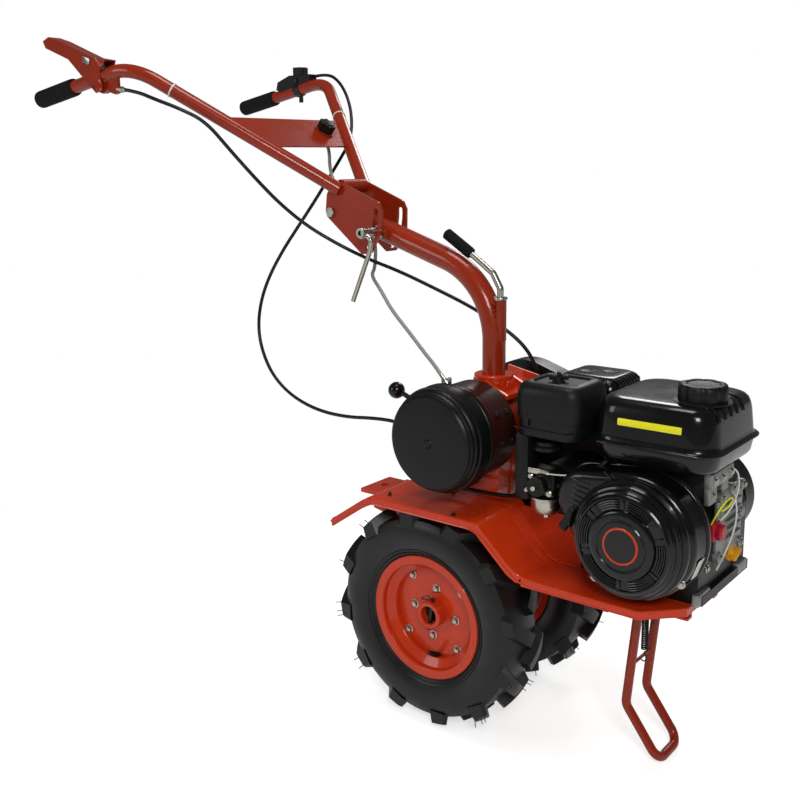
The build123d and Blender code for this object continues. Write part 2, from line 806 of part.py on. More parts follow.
lever_y = 8 - clamp_boss
clamp_handle = bent_bar([at(clamp_x, lever_y, clamp_z), at(clamp_x + 17, lever_y, clamp_z - 12),
                         at(clamp_x + 12, lever_y, clamp_z - 38), at(clamp_x - 30, lever_y, clamp_z - 130)],
                        8, 4.5)
with BuildPart() as clamp_screw:
    with BuildSketch(side_plane(plate_outer + bolt_gap + bolt_head)):
        with Locations((clamp_x, clamp_z)):
            Circle(clamp_bolt_radius)
    extrude(amount=2 * (plate_outer + bolt_gap) + bolt_head)
    with BuildSketch(side_plane(plate_outer + bolt_gap)):
        with Locations((clamp_x, clamp_z)):
            RegularPolygon(9, 6)
    extrude(amount=-bolt_head)
    with BuildSketch(side_plane(-plate_outer - bolt_gap)):
        with Locations((clamp_x, clamp_z)):
            Circle(9)
    extrude(amount=clamp_boss - plate_outer - bolt_gap)
    for sign in wheel_sides.values():
        with BuildSketch(side_plane(sign * column_radius)):
            with Locations((clamp_x, clamp_z)):
                Circle(spacer_radius)
        extrude(amount=-sign * (clamp_plate_y - bolt_gap - column_radius))
    add(clamp_handle)
write("clamp_screw", clamp_screw.part)

# Handlebar: two slotted plates, a cross tube, two bent handles and their controls
slot_low = -column_slope - tilt_down
slot_high = -column_slope + tilt_up
slot_margin = 2.0
plate_outline = [(6, 63), (32, 55), (118, 21), (126, 6), (125, -32), (98, -75), (75, -78),
                 (-12, -9), (-16, 1), (-12, 34)]
with BuildPart() as clamp_frame:
    for sign in wheel_sides.values():
        with BuildSketch(bar_plane(sign * clamp_plate_y)):
            Polygon(*plate_outline, align=None)
            fillet(vertices(), 5)
            Circle(pivot_bolt_radius + pivot_fit, mode=Mode.SUBTRACT)
            with BuildLine(mode=Mode.PRIVATE) as slot_line:
                CenterArc((0, 0), clamp_distance, slot_low - slot_margin, slot_high - slot_low + 2 * slot_margin)
            SlotArc(slot_line.edge(), 2 * (clamp_bolt_radius + clamp_slack), mode=Mode.SUBTRACT)
        extrude(amount=-sign * clamp_plate)
    with BuildSketch(bar_plane(clamp_plate_y)):
        with Locations(cross_tube):
            Circle(cross_tube_radius)
    extrude(amount=2 * clamp_plate_y)
write("clamp_frame", clamp_frame.part)

lug_outline = [(-393, 254), (-389, 233), (-373, 229), (-357, 236), (-347, 229), (-335, 226),
               (-325, 228), (-326, 264)]
lever_y = -handle_bend[1] - 4
tubes = {}
for side, sign in wheel_sides.items():
    foot, bend, end = (on_bar(x, sign * y, z) for x, y, z in (handle_foot, handle_bend, handle_end))
    start = foot + (foot - bend).normalized() * 12
    tubes[side] = bent_bar([start, bend, end], handle_bend_radius, handle_radius)
    with BuildPart() as handle:
        if side == "right":
            with BuildSketch(bar_plane(lever_y + 3)):
                Polygon(*lug_outline, align=None)
                with Locations(lever_pin):
                    Circle(lever_pin_radius + 0.05, mode=Mode.SUBTRACT)
            extrude(amount=6)
        add(tubes[side])
        split(bisect_by=Plane(origin=(0, sign * plate_outer, 0), z_dir=(0, sign, 0)), keep=Keep.TOP)
    write(f"handle_{side}", handle.part)

    back = (bend - end).normalized()
    with BuildPart() as grip:
        with BuildSketch(Plane(origin=end - back * 4, z_dir=back)):
            Circle(grip_radius)
        extrude(amount=grip_length)
        with BuildSketch(Plane(origin=end, z_dir=back)):
            Circle(handle_radius)
        extrude(amount=grip_length, mode=Mode.SUBTRACT)
    write(f"grip_{side}", grip.part)

foot, bend = Vector(*handle_foot), Vector(*handle_bend)
low, high = (foot + (bend - foot) * share for share in (cross_plate_low, cross_plate_high))
up_slope = Vector(bend.X - foot.X, 0, bend.Z - foot.Z).normalized()
face_out = Vector(0, 1, 0).cross(up_slope)
plate_plane = Plane(origin=on_bar(low.X, 0, low.Z), x_dir=(0, 1, 0), z_dir=face_out)
rise = hypot(high.X - low.X, high.Z - low.Z)
with BuildPart() as cross_plate:
    with BuildSketch(plate_plane.offset(-2)):
        Polygon((-low.Y, 0), (low.Y, 0), (high.Y, rise), (-high.Y, rise), align=None)
    extrude(amount=4)
    with BuildSketch(plate_plane.offset(2)):
        with Locations(knob_place):
            Circle(knob_radius + 6)
    extrude(amount=3)
    for tube in tubes.values():
        add(tube, mode=Mode.SUBTRACT)
write("cross_plate", cross_plate.part)

with BuildPart() as plate_knob:
    with BuildSketch(plate_plane.offset(5)):
        with Locations(knob_place):
            Circle(knob_radius)
            with PolarLocations(knob_radius - 1, 6):
                Circle(4)
    extrude(amount=knob_height)
write("plate_knob", plate_knob.part)

lever_outline = [(-547, 338), (-527, 345), (-494, 336), (-386, 297), (-349, 291), (-353, 282),
                 (-364, 276), (-367, 258), (-361, 242), (-364, 234), (-381, 230), (-403, 247),
                 (-465, 298), (-539, 324)]
with BuildPart() as clutch_lever:
    with BuildSketch(bar_plane(lever_y + lever_outer)):
        Polygon(*lever_outline, align=None)
    extrude(amount=2 * lever_outer)
    with BuildSketch(bar_plane(lever_y + lever_inner)):
        Polygon(*[(x + 4, z - 3.5) for x, z in lever_outline], align=None)
    extrude(amount=2 * lever_inner, mode=Mode.SUBTRACT)
    with BuildSketch(bar_plane(lever_y + lever_outer + 2)):
        with Locations(lever_pin):
            Circle(lever_pin_radius)
    extrude(amount=2 * (lever_outer + 2))
write("clutch_lever", clutch_lever.part)

throttle_outline = [(-446, 262), (-441, 280), (-402, 294), (-336, 294), (-337, 277), (-389, 267),
                    (-429, 258)]
throttle_y = handle_bend[1] + 5
with BuildPart() as throttle_control:
    with BuildSketch(bar_plane(throttle_y + 12)):
        Polygon(*throttle_outline, align=None)
    extrude(amount=24)
    with BuildSketch(Plane(origin=on_bar(throttle_knob[0], throttle_y, throttle_knob[1]))):
        Circle(knob_radius)
        with PolarLocations(knob_radius - 1, 6):
            Circle(4)
    extrude(amount=knob_height)
    with BuildSketch(Plane(origin=on_bar(throttle_knob[0], throttle_y, throttle_bolt))):
        Circle(5)
    extrude(amount=throttle_knob[1] - throttle_bolt)
    add(tubes["left"], mode=Mode.SUBTRACT)
    add(grip.part, mode=Mode.SUBTRACT)
write("throttle_control", throttle_control.part)

# Cables: each is two lengths that meet where both go along with the column
upper_throttle = [(-646.2, 274, 997), (-589, 262, 1001), (-537, 245, 978), (-495, 226, 937), (-468, 205, 888),
                  (-454, 180, 845), (-454, 140, 801), (-449, 95, 760), (-455, 60, 717), (-476, 35, 670),
                  (-502, 15, 622), (-529, 0, 569), (-538.5, -5, 542)]
lower_throttle = [(-538.5, -5, 542), (-548, -10, 515), (-552, -18, 459), (-535, -25, 408), (-499, -30, 359),
                  (-440, -35, 324), (-364, -40, 306), (-281, -45, 305), (-201, -50, 316), (-130, -60, 321),
                  (-90, -68, 296), (-64, -76, 256), (-25, -82, 234), (35, -86, 230), (100, -89, 233),
                  (150, -97, 241), (189.5, -107, 256.5)]
upper_clutch = [(-635.6, -273, 944), (-590, -270, 938), (-550, -258, 922), (-514, -235, 906), (-480, -200, 882),
                (-451, -165, 826), (-420, -130, 771), (-395, -95, 725), (-361, -60, 683), (-317, -25, 648),
                (-290.5, -10, 633)]
lower_clutch = [(-290.5, -10, 633), (-264, 5, 618), (-197, 25, 595), (-122, 38, 566), (-45, 48, 536),
                (14, 60, 504), (53, 72, 474), (73, 82, 443), (80, 86.5, 419)]
upper_drum = [(-446, 84, 856), (-437, 88, 842), (-431, 89, 822), (-424, 81, 795), (-405, 68, 768),
              (-360, 60, 728), (-309, 57, 688), (-276, 50, 651), (-261, 31, 625)]
lower_drum = [(-261, 31, 625), (-246, 12, 599), (-226, -25, 590), (-186, -44, 566), (-155, -52, 533),
              (-104, -66, 499), (-54, -84, 468), (-8, -103, 444), (22, -117, 422.9)]
for name, places in (("throttle_cable_upper", upper_throttle), ("throttle_cable_lower", lower_throttle),
                     ("clutch_cable_upper", upper_clutch), ("clutch_cable_lower", lower_clutch),
                     ("drum_cable_upper", upper_drum), ("drum_cable_lower", lower_drum)):
    cable(name, places)

# Stand: a bent loop hinged on a rod under the rails, held by a coil spring
bracket_top = rail_top - rail_height
ear_inner = stand_radius + stand_side_gap
rod_right = stand_right - ear_inner
rod_left = stand_left + ear_inner
with BuildPart() as stand_bracket:
    with BuildSketch(level(bracket_top - stand_ear)):
        with Locations((stand_pivot_x, 0)):
            Rectangle(2 * stand_ear_radius, 2 * (rail_web_y + rail_flange))
    extrude(amount=stand_ear)
    for y in (rod_right, rod_left + stand_ear):
        with BuildSketch(side_plane(y)):
            with Locations((stand_pivot_x, stand_pivot_z)):
                Circle(stand_ear_radius)
            with Locations((stand_pivot_x, (stand_pivot_z + bracket_top) / 2)):
                Rectangle(2 * stand_ear_radius, bracket_top - stand_pivot_z)
        extrude(amount=stand_ear)
    with BuildSketch(side_plane(rod_left)):
        with Locations((stand_pivot_x, stand_pivot_z)):
            Circle(stand_rod_radius)
    extrude(amount=rod_left - rod_right)
write("stand_bracket", stand_bracket.part)

foot_z = ground + stand_radius
rod_drop = (stand_pivot_z - stand_rod_z) / (stand_pivot_z - stand_knee_z)
spring_rod_x = stand_pivot_x + (stand_knee_x - stand_pivot_x) * rod_drop
loop = bent_bar([at(stand_pivot_x, stand_right, stand_pivot_z), at(stand_knee_x, stand_right, stand_knee_z),
                 at(stand_foot_x, stand_right, foot_z), at(stand_foot_x, stand_left, foot_z),
                 at(stand_knee_x, stand_left, stand_knee_z), at(stand_pivot_x, stand_left, stand_pivot_z)],
                stand_bend_radius, stand_radius)
with BuildPart() as stand:
    add(loop)
    for y in (stand_right, stand_left):
        with BuildSketch(side_plane(y + stand_radius)):
            with Locations((stand_pivot_x, stand_pivot_z)):
                Circle(stand_eye_radius)
        extrude(amount=2 * stand_radius)
    with BuildSketch(side_plane(rod_left)):
        with Locations((stand_pivot_x, stand_pivot_z)):
            Circle(stand_rod_radius + stand_rod_fit)
    extrude(amount=rod_left - rod_right, mode=Mode.SUBTRACT)
    with BuildSketch(side_plane(stand_left)):
        with Locations((spring_rod_x, stand_rod_z)):
            Circle(spring_rod_radius)
    extrude(amount=stand_left - stand_right)
write("stand", stand.part)

spring_y = (stand_left + stand_right) / 2
spring_foot = stand_rod_z + spring_rod_radius
spring_head = bracket_top - stand_ear
with BuildPart() as stand_spring:
    with BuildSketch(level(spring_foot)):
        with Locations((spring_rod_x, spring_y)):
            Circle(spring_hook_radius)
    extrude(amount=spring_head - spring_foot)
    with BuildSketch(level(spring_foot + spring_hook)):
        with Locations((spring_rod_x, spring_y)):
            Circle(spring_radius)
    extrude(amount=spring_coil)
write("stand_spring", stand_spring.part)
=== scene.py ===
# %% [markdown]
# # A two-wheel hand tractor
# This lesson dresses a small walking tractor: a petrol engine in front, two lugged tyres on one axle,
# and a swivelling column with a tilting handlebar. The solids come in ready-made as a fixed frame,
# and every cell adds the finish or the fine parts that a maker would see up close.

# %% Load the frame
import math
import bpy
from mathutils import Matrix, Vector


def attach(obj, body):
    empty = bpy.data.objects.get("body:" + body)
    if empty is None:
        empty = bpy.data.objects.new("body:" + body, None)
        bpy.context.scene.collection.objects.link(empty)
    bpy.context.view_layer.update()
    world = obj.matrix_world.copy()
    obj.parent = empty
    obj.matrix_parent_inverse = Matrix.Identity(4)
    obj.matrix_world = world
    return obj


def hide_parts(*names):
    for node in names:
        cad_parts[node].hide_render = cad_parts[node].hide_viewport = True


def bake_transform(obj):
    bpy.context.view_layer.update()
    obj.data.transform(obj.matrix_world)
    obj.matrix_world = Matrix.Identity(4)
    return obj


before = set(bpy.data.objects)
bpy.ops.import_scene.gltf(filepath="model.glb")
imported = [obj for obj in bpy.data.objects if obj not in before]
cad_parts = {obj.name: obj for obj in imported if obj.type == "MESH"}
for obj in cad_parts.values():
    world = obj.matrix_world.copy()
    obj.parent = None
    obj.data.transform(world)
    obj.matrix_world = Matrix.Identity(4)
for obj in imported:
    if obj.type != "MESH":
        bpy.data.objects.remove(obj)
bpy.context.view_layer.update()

# %% [markdown]
# All sizes below are in millimetres from the middle of the axle: x forward, y to the left, z up.
# One helper turns such a place into metres in the model's own frame, so that a number read off
# the real machine can be used as it is. The middle of a wheel, the output shaft and the engine's
# crankshaft are named here, because many pieces are centred on them.

# %% Places and directions
AXLE = Vector((0.190, 0.0, 0.205))
MM = 0.001
WHEEL = 120
SHAFT_X, SHAFT_Z = 34, 336
CRANK_X, CRANK_Z = 392, 236
TO_RIGHT = Matrix.Rotation(math.radians(90), 4, "X")
TO_LEFT = Matrix.Rotation(math.radians(180), 4, "Z") @ TO_RIGHT
TO_FRONT = Matrix.Rotation(math.radians(90), 4, "Z") @ TO_RIGHT
TO_TOP = Matrix.Identity(4)

def at(x, y, z):
    """A place given in millimetres from the axle, in metres in the model's frame."""
    return AXLE + Vector((x, y, z)) * MM

def facing(direction):
    """The turn that takes a piece modelled along +Z to this direction."""
    return Vector(direction).to_track_quat("Z", "Y").to_matrix().to_4x4()

print("axle at", tuple(round(c, 3) for c in AXLE), "m")

# %% [markdown]
# The camera stands in front of the machine and to its right, a little above the engine, and looks
# down by some eleven degrees. A small lens shift keeps the machine where the picture frame has it.

# %% Camera
FOCAL_PIXELS, FRAME_PIXELS = 1019.5, 800
TURN, PITCH, ROLL = 37.78, -10.86, -0.49

bpy.ops.object.select_all(action="DESELECT")
bpy.ops.object.camera_add(location=(1.2313, -1.5106, 1.0162))
camera = bpy.context.object
camera.name = "studio_camera"
turn = (Matrix.Rotation(math.radians(TURN), 4, "Z") @ Matrix.Rotation(math.radians(90 + PITCH), 4, "X")
        @ Matrix.Rotation(math.radians(ROLL), 4, "Z"))
camera.rotation_euler = turn.to_euler()
camera.data.sensor_fit = "HORIZONTAL"
camera.data.sensor_width = 36
camera.data.lens = FOCAL_PIXELS / FRAME_PIXELS * camera.data.sensor_width
camera.data.shift_x = -0.0241
camera.data.shift_y = -0.0588
camera.data.clip_end = 50
bpy.context.scene.camera = camera
bpy.context.scene.view_settings.view_transform = "Standard"
print("lens", round(camera.data.lens, 1), "mm")

# %% [markdown]
# Colours are written as sRGB hex values, as a paint chart gives them, and turned to linear light by
# one function. A second small function adds a node with its settings and links, so that a material
# reads as a short list of what its surface is made of.

# %% Colour and node helpers
def paint(code):
    """A linear colour from an sRGB hex code."""
    parts = [int(code[i:i + 2], 16) / 255 for i in (1, 3, 5)]
    return [p / 12.92 if p <= 0.04045 else ((p + 0.055) / 1.055) ** 2.4 for p in parts] + [1.0]

def add_node(tree, kind, inputs=None, **settings):
    """Add a node; inputs are plain values or the sockets that feed them."""
    node = tree.nodes.new(kind)
    for key, value in settings.items():
        setattr(node, key, value)
    for key, value in (inputs or {}).items():
        if isinstance(value, bpy.types.NodeSocket):
            tree.links.new(value, node.inputs[key])
        else:
            node.inputs[key].default_value = value
    return node

# %% [markdown]
# Every finish here has the same build. Two close shades mix in patches, as paint and rubber never are
# quite even. The same patches move the roughness between two values. A finer noise gives the grain,
# with its size and its depth in millimetres. What is uniform, such as the coat, goes straight to the
# shader's sockets.

def surface(name, slot, shades, patch_mm, rough, grain, **extra):
    """A finish from two shades, the size of their patches, two roughnesses and a grain (size, depth)."""
    material = bpy.data.materials.new(name)
    material.use_nodes = True
    tree = material.node_tree
    tree.nodes.clear()
    place = add_node(tree, "ShaderNodeTexCoord").outputs["Object"]
    patches = add_node(tree, "ShaderNodeTexNoise", {"Vector": place, "Scale": 1000 / patch_mm, "Detail": 4.0,
                                                    "Roughness": 0.6})
    shade = add_node(tree, "ShaderNodeMix", {0: patches.outputs["Fac"], 6: paint(shades[0]),
                                             7: paint(shades[1])}, data_type="RGBA")
    gloss = add_node(tree, "ShaderNodeMapRange", {"Value": patches.outputs["Fac"], "From Min": 0.3,
                                                  "From Max": 0.7, "To Min": rough[0], "To Max": rough[1]})
    fine = add_node(tree, "ShaderNodeTexNoise", {"Vector": place, "Scale": 1000 / grain[0], "Detail": 3.0})
    bump = add_node(tree, "ShaderNodeBump", {"Height": fine.outputs["Fac"], "Strength": 0.6,
                                             "Distance": grain[1] * MM})
    shader = add_node(tree, "ShaderNodeBsdfPrincipled", {"Base Color": shade.outputs[2],
                                                         "Roughness": gloss.outputs["Result"],
                                                         "Normal": bump.outputs["Normal"]})
    for key, value in extra.items():
        shader.inputs[key.replace("_", " ")].default_value = value
    add_node(tree, "ShaderNodeOutputMaterial", {"Surface": shader.outputs["BSDF"]})
    return material

# %% [markdown]
# Pressed steel and tube on a machine like this are dipped in a thick orange-red enamel. It levels
# out glossy, with a faint orange peel a few millimetres across. The tubes get a darker copy of the
# same red, which is painted shade. The black enamel of the engine covers is the same kind of paint. The
# clear top of the enamel is the shader's coat, and it gives the crisp highlights. The output barrel's
# red is painted nearly black, which is painted shade.

# %% Enamels
red_sheet = surface("gloss_red_enamel_on_sheet", "red_enamel", ("#CE3A12", "#B32D0C"), 90, (0.22, 0.34),
                    (3.0, 0.025), Specular_IOR_Level=0.2, Coat_Weight=0.4, Coat_Roughness=0.05, IOR=1.5)
# The tubes' red is a darker copy of the sheet red: painted shade.
red_tube_painted_shade = surface("gloss_red_enamel_darkened_as_painted_shade", "red_enamel", ("#9A2B0C", "#7E2007"), 60, (0.22, 0.34),
                   (2.5, 0.02), Specular_IOR_Level=0.2, Coat_Weight=0.4, Coat_Roughness=0.05, IOR=1.5)
black_gloss = surface("gloss_black_stove_enamel", "black_enamel", ("#060707", "#0C0D0D"), 70, (0.16, 0.28),
                      (2.0, 0.03), Specular_IOR_Level=0.2, Coat_Weight=0.4, Coat_Roughness=0.04, IOR=1.5)
black_satin = surface("satin_black_enamel_on_steel", "black_enamel", ("#080B0A", "#101311"), 50, (0.28, 0.42),
                      (1.6, 0.03), Specular_IOR_Level=0.25, IOR=1.5)
# The barrel's red enamel is painted nearly black: painted shade.
dark_red_painted_shade = surface("red_enamel_painted_near_black_as_shade", "red_enamel", ("#3A120B", "#25100C"), 50, (0.3, 0.45),
                        (2.0, 0.05), Specular_IOR_Level=0.3, IOR=1.5)

# %% [markdown]
# New tyre rubber is close to black, with a thin shine of mould release that a weak, rough coat gives.
# The hand grips are a softer foam rubber with a fine open grain. The engine's plastic covers are ABS
# with a moulded grain, and the cables are sheathed in smooth PVC. The black ones reflect less than the
# shader's default, which keeps them black beside the enamel.

# %% Rubbers and plastics
tyre_rubber = surface("vulcanised_tyre_rubber", "tyre_rubber", ("#0A0B0B", "#151717"), 45, (0.34, 0.56),
                      (1.4, 0.12), Specular_IOR_Level=0.3, Coat_Weight=0.12, Coat_Roughness=0.22, IOR=1.52)
grip_foam = surface("foam_grip_rubber", "grip_rubber", ("#090A0A", "#121313"), 12, (0.7, 0.9), (0.9, 0.25),
                    Specular_IOR_Level=0.2, IOR=1.5)
moulded_black = surface("grained_black_abs", "black_plastic", ("#090B0A", "#121413"), 40, (0.36, 0.52),
                        (0.9, 0.08), Specular_IOR_Level=0.25, IOR=1.5)
red_plastic = surface("red_moulded_abs", "red_plastic", ("#B3122B", "#8F0C20"), 15, (0.3, 0.45), (1.0, 0.03),
                      IOR=1.5)
yellow_plastic = surface("yellow_moulded_nylon", "yellow_plastic", ("#E3A115", "#C98608"), 12, (0.3, 0.5),
                         (1.0, 0.04), IOR=1.53)
black_sheath = surface("extruded_black_pvc", "cable_sheath", ("#080909", "#0F1010"), 25, (0.3, 0.45),
                       (1.5, 0.02), Specular_IOR_Level=0.3, IOR=1.52)
grey_sheath = surface("extruded_grey_pvc", "cable_sheath", ("#8E8E89", "#7A7A75"), 25, (0.35, 0.5),
                      (1.5, 0.02), IOR=1.52)
yellow_film = surface("yellow_vinyl_film", "yellow_plastic", ("#E9E318", "#DDD60F"), 30, (0.25, 0.35),
                      (2.0, 0.01), IOR=1.5)
white_film = surface("pale_vinyl_film", "yellow_plastic", ("#D9D9D2", "#C9C9C2"), 30, (0.3, 0.4), (2.0, 0.01),
                     IOR=1.5)

# %% [markdown]
# Bolts, springs and levers are zinc plated, which leaves a bright metal with a slight yellow and fine
# scuffs. Other small parts are blackened. The engine's covers are sand-cast aluminium, and their skin
# shows the grain of the sand.

# %% Metals
zinc = surface("zinc_plated_steel", "bare_steel", ("#C9C7BC", "#A8A69B"), 14, (0.18, 0.38), (1.2, 0.03),
               Metallic=1.0)
cast_alloy = surface("sand_cast_aluminium", "cast_aluminium", ("#A4A7A4", "#8A8D8B"), 20, (0.42, 0.62),
                     (0.9, 0.15), Metallic=0.9)
dark_steel = surface("blackened_steel", "bare_steel", ("#2A2A2A", "#3A3936"), 20, (0.28, 0.45), (1.2, 0.04),
                     Metallic=0.8)

# %% [markdown]
# The studio floor is a wide pale sheet. Near the machine it takes a soft shadow, and it fades to pure
# white further out, so that it meets a white world without a horizon. Only rays from the camera see
# that white in full. Glossy rays see a weaker glow, which keeps black enamel black, and the light that
# the floor throws up at the machine is that of a plain matt sheet.

# %% Floor
WHITE = (1, 1, 1, 1)
FADE_FROM, FADE_TO = 0.7, 1.5
FLOOR_GLOW, GLOSSY_SHARE = 0.62, 0.3

bpy.ops.mesh.primitive_plane_add(size=60, location=(0, 0, -0.0005))
floor = bpy.context.object
floor.name = "studio_floor"
sweep = bpy.data.materials.new("pale_studio_floor")
sweep.use_nodes = True
tree = sweep.node_tree
tree.nodes.clear()
rays = add_node(tree, "ShaderNodeLightPath").outputs
matt = add_node(tree, "ShaderNodeBsdfDiffuse", {"Color": paint("#E6E6E4")})
glow = add_node(tree, "ShaderNodeEmission", {"Color": WHITE, "Strength": FLOOR_GLOW})
near = add_node(tree, "ShaderNodeAddShader", {0: matt.outputs[0], 1: glow.outputs[0]})
white = add_node(tree, "ShaderNodeEmission", {"Color": WHITE, "Strength": 1.0})
place = add_node(tree, "ShaderNodeTexCoord").outputs["Object"]
reach = add_node(tree, "ShaderNodeVectorMath", {0: place}, operation="LENGTH").outputs["Value"]
fade = add_node(tree, "ShaderNodeMapRange", {"Value": reach, "From Min": FADE_FROM, "From Max": FADE_TO})
lit = add_node(tree, "ShaderNodeMixShader", {0: fade.outputs["Result"], 1: near.outputs[0],
                                             2: white.outputs[0]})
seen = add_node(tree, "ShaderNodeMath", {0: rays["Is Camera Ray"], 1: rays["Is Transmission Ray"]},
                operation="MAXIMUM")
sheen = add_node(tree, "ShaderNodeMath", {0: rays["Is Glossy Ray"], 1: GLOSSY_SHARE}, operation="MULTIPLY")
seen = add_node(tree, "ShaderNodeMath", {0: seen.outputs[0], 1: sheen.outputs[0]}, operation="MAXIMUM")
mixed = add_node(tree, "ShaderNodeMixShader", {0: seen.outputs[0], 1: matt.outputs[0], 2: lit.outputs[0]})
add_node(tree, "ShaderNodeOutputMaterial", {"Surface": mixed.outputs[0]})
floor.data.materials.append(sweep)
print("floor fades to white at", FADE_TO, "m")

# %% [markdown]
# The world does the same for rays that miss everything: it is white to the camera, a weak even light
# on matt surfaces, and weaker still in reflections.

# %% World
AMBIENT, REFLECTED = 0.30, 0.12

world = bpy.data.worlds.new("studio_world")
bpy.context.scene.world = world
world.use_nodes = True
tree = world.node_tree
tree.nodes.clear()
rays = add_node(tree, "ShaderNodeLightPath").outputs
seen = add_node(tree, "ShaderNodeMath", {0: rays["Is Camera Ray"], 1: rays["Is Transmission Ray"]},
                operation="MAXIMUM")
shine = add_node(tree, "ShaderNodeMapRange", {"Value": rays["Is Glossy Ray"], "To Min": AMBIENT,
                                              "To Max": REFLECTED})
level = add_node(tree, "ShaderNodeMapRange", {"Value": seen.outputs[0], "To Min": shine.outputs["Result"],
                                              "To Max": 1.0})
dome = add_node(tree, "ShaderNodeBackground", {"Color": WHITE, "Strength": level.outputs["Result"]})
add_node(tree, "ShaderNodeOutputWorld", {"Surface": dome.outputs[0]})
print("ambient light:", AMBIENT)

# %% [markdown]
# Four square lamps of about a metre light the machine from the front, both sides and above. They are
# small enough to draw clear highlights on enamel, and large enough for soft shadows.

# %% Lamps
def soft_lamp(name, place, aim, size, power):
    """A square soft lamp at place, turned to aim, in metres and watts."""
    bpy.ops.object.light_add(type="AREA", location=place)
    lamp = bpy.context.object
    lamp.name = name
    lamp.rotation_euler = (Vector(aim) - Vector(place)).to_track_quat("-Z", "Y").to_euler()
    lamp.data.size = size
    lamp.data.energy = power
    print(name, power, "W")

soft_lamp("key_lamp", (2.2, -2.4, 2.3), (0.2, 0, 0.45), 0.9, 50)
soft_lamp("fill_lamp", (-1.8, -2.6, 1.6), (0, 0, 0.5), 1.1, 16)
soft_lamp("back_lamp", (-0.6, 2.6, 2.4), (0.1, 0, 0.5), 1.0, 22)
soft_lamp("top_lamp", (0.2, -0.2, 3.0), (0.2, 0, 0.3), 1.0, 22)

# %% [markdown]
# Three control cables run from the handlebar to the machine: the throttle's long loop behind it, the
# clutch cable along the column, and a grey one to the drum. Each is a stiff sheathed cable, and each
# is made in two lengths that meet where it goes along with the column. The line is a smooth NURBS
# curve through the air, because a stiff sheath makes wide even bends between the places that hold it.

# %% A cable from its places
CABLE = 0.007

def cable(name, finish, places):
    """A sheathed cable: a NURBS line, given its thickness and made a mesh."""
    points = [at(*place) for place in places]
    curve = bpy.data.curves.new(name, "CURVE")
    curve.dimensions = "3D"
    spline = curve.splines.new("NURBS")
    spline.points.add(len(points) - 1)
    for knot, point in zip(spline.points, points):
        knot.co = (*point, 1.0)
    spline.order_u = 3
    spline.use_endpoint_u = True
    curve.resolution_u = 14
    piece = bpy.data.objects.new(name, curve)
    bpy.context.collection.objects.link(piece)
    bpy.context.view_layer.update()
    line = bpy.data.meshes.new_from_object(piece)
    bpy.data.meshes.remove(line)
    curve.bevel_depth = CABLE / 2
    curve.bevel_resolution = 3
    curve.use_fill_caps = True
    bpy.ops.object.select_all(action="DESELECT")
    piece.select_set(True)
    bpy.context.view_layer.objects.active = piece
    bpy.ops.object.convert(target="MESH")
    piece.data.materials.clear()
    piece.data.materials.append(finish)
    bpy.ops.object.shade_smooth()
    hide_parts(name)
    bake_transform(piece)

# %% [markdown]
# Each route is a list of places along the real cable. The throttle cable leaves its
# lever forward, drops behind the clamp, hangs in a wide loop under the column and comes back over the
# left fender to the carburettor.

# %% Throttle cable
cable("throttle_cable_upper", black_sheath, [
    (-646.2, 274, 997), (-589, 262, 1001), (-537, 245, 978), (-495, 226, 937), (-468, 205, 888),
    (-454, 180, 845), (-454, 140, 801), (-449, 95, 760), (-455, 60, 717), (-476, 35, 670), (-502, 15, 622),
    (-529, 0, 569), (-538.5, -5, 542)])
cable("throttle_cable_lower", black_sheath, [
    (-538.5, -5, 542), (-548, -10, 515), (-552, -18, 459), (-535, -25, 408), (-499, -30, 359),
    (-440, -35, 324), (-364, -40, 306), (-281, -45, 305), (-201, -50, 316), (-130, -60, 321),
    (-90, -68, 296), (-64, -76, 256), (-25, -82, 234), (35, -86, 230), (100, -89, 233), (150, -97, 241),
    (189.5, -107, 256.5)])

# %% [markdown]
# The clutch cable leaves its lever, follows the column down in one long slope and ends in the bracket
# at the column's socket. The grey drum cable comes from under the cross plate to the adjuster on the
# drum.

# %% Clutch and drum cables
cable("clutch_cable_upper", black_sheath, [
    (-635.6, -273, 944), (-590, -270, 938), (-550, -258, 922), (-514, -235, 906), (-480, -200, 882),
    (-451, -165, 826), (-420, -130, 771), (-395, -95, 725), (-361, -60, 683), (-317, -25, 648),
    (-290.5, -10, 633)])
cable("clutch_cable_lower", black_sheath, [
    (-290.5, -10, 633), (-264, 5, 618), (-197, 25, 595), (-122, 38, 566), (-45, 48, 536), (14, 60, 504),
    (53, 72, 474), (73, 82, 443), (80, 86.5, 419)])
cable("drum_cable_upper", grey_sheath, [
    (-446, 84, 856), (-437, 88, 842), (-431, 89, 822), (-424, 81, 795), (-405, 68, 768), (-360, 60, 728),
    (-309, 57, 688), (-276, 50, 651), (-261, 31, 625)])
cable("drum_cable_lower", grey_sheath, [
    (-261, 31, 625), (-246, 12, 599), (-226, -25, 590), (-186, -44, 566), (-155, -52, 533),
    (-104, -66, 499), (-54, -84, 468), (-8, -103, 444), (22, -117, 422.9)])

# %% [markdown]
# The solids that already have their right shape keep it and get their finish here. A CAD node's mesh
# is never changed: only the material in its slots is.

# %% Finish the solids
def dress(finish, *names):
    """Give CAD nodes this finish."""
    for name in names:
        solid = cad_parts[name]
        solid.data.materials.clear()
        solid.data.materials.append(finish)
    print(finish.name, "on", len(names))

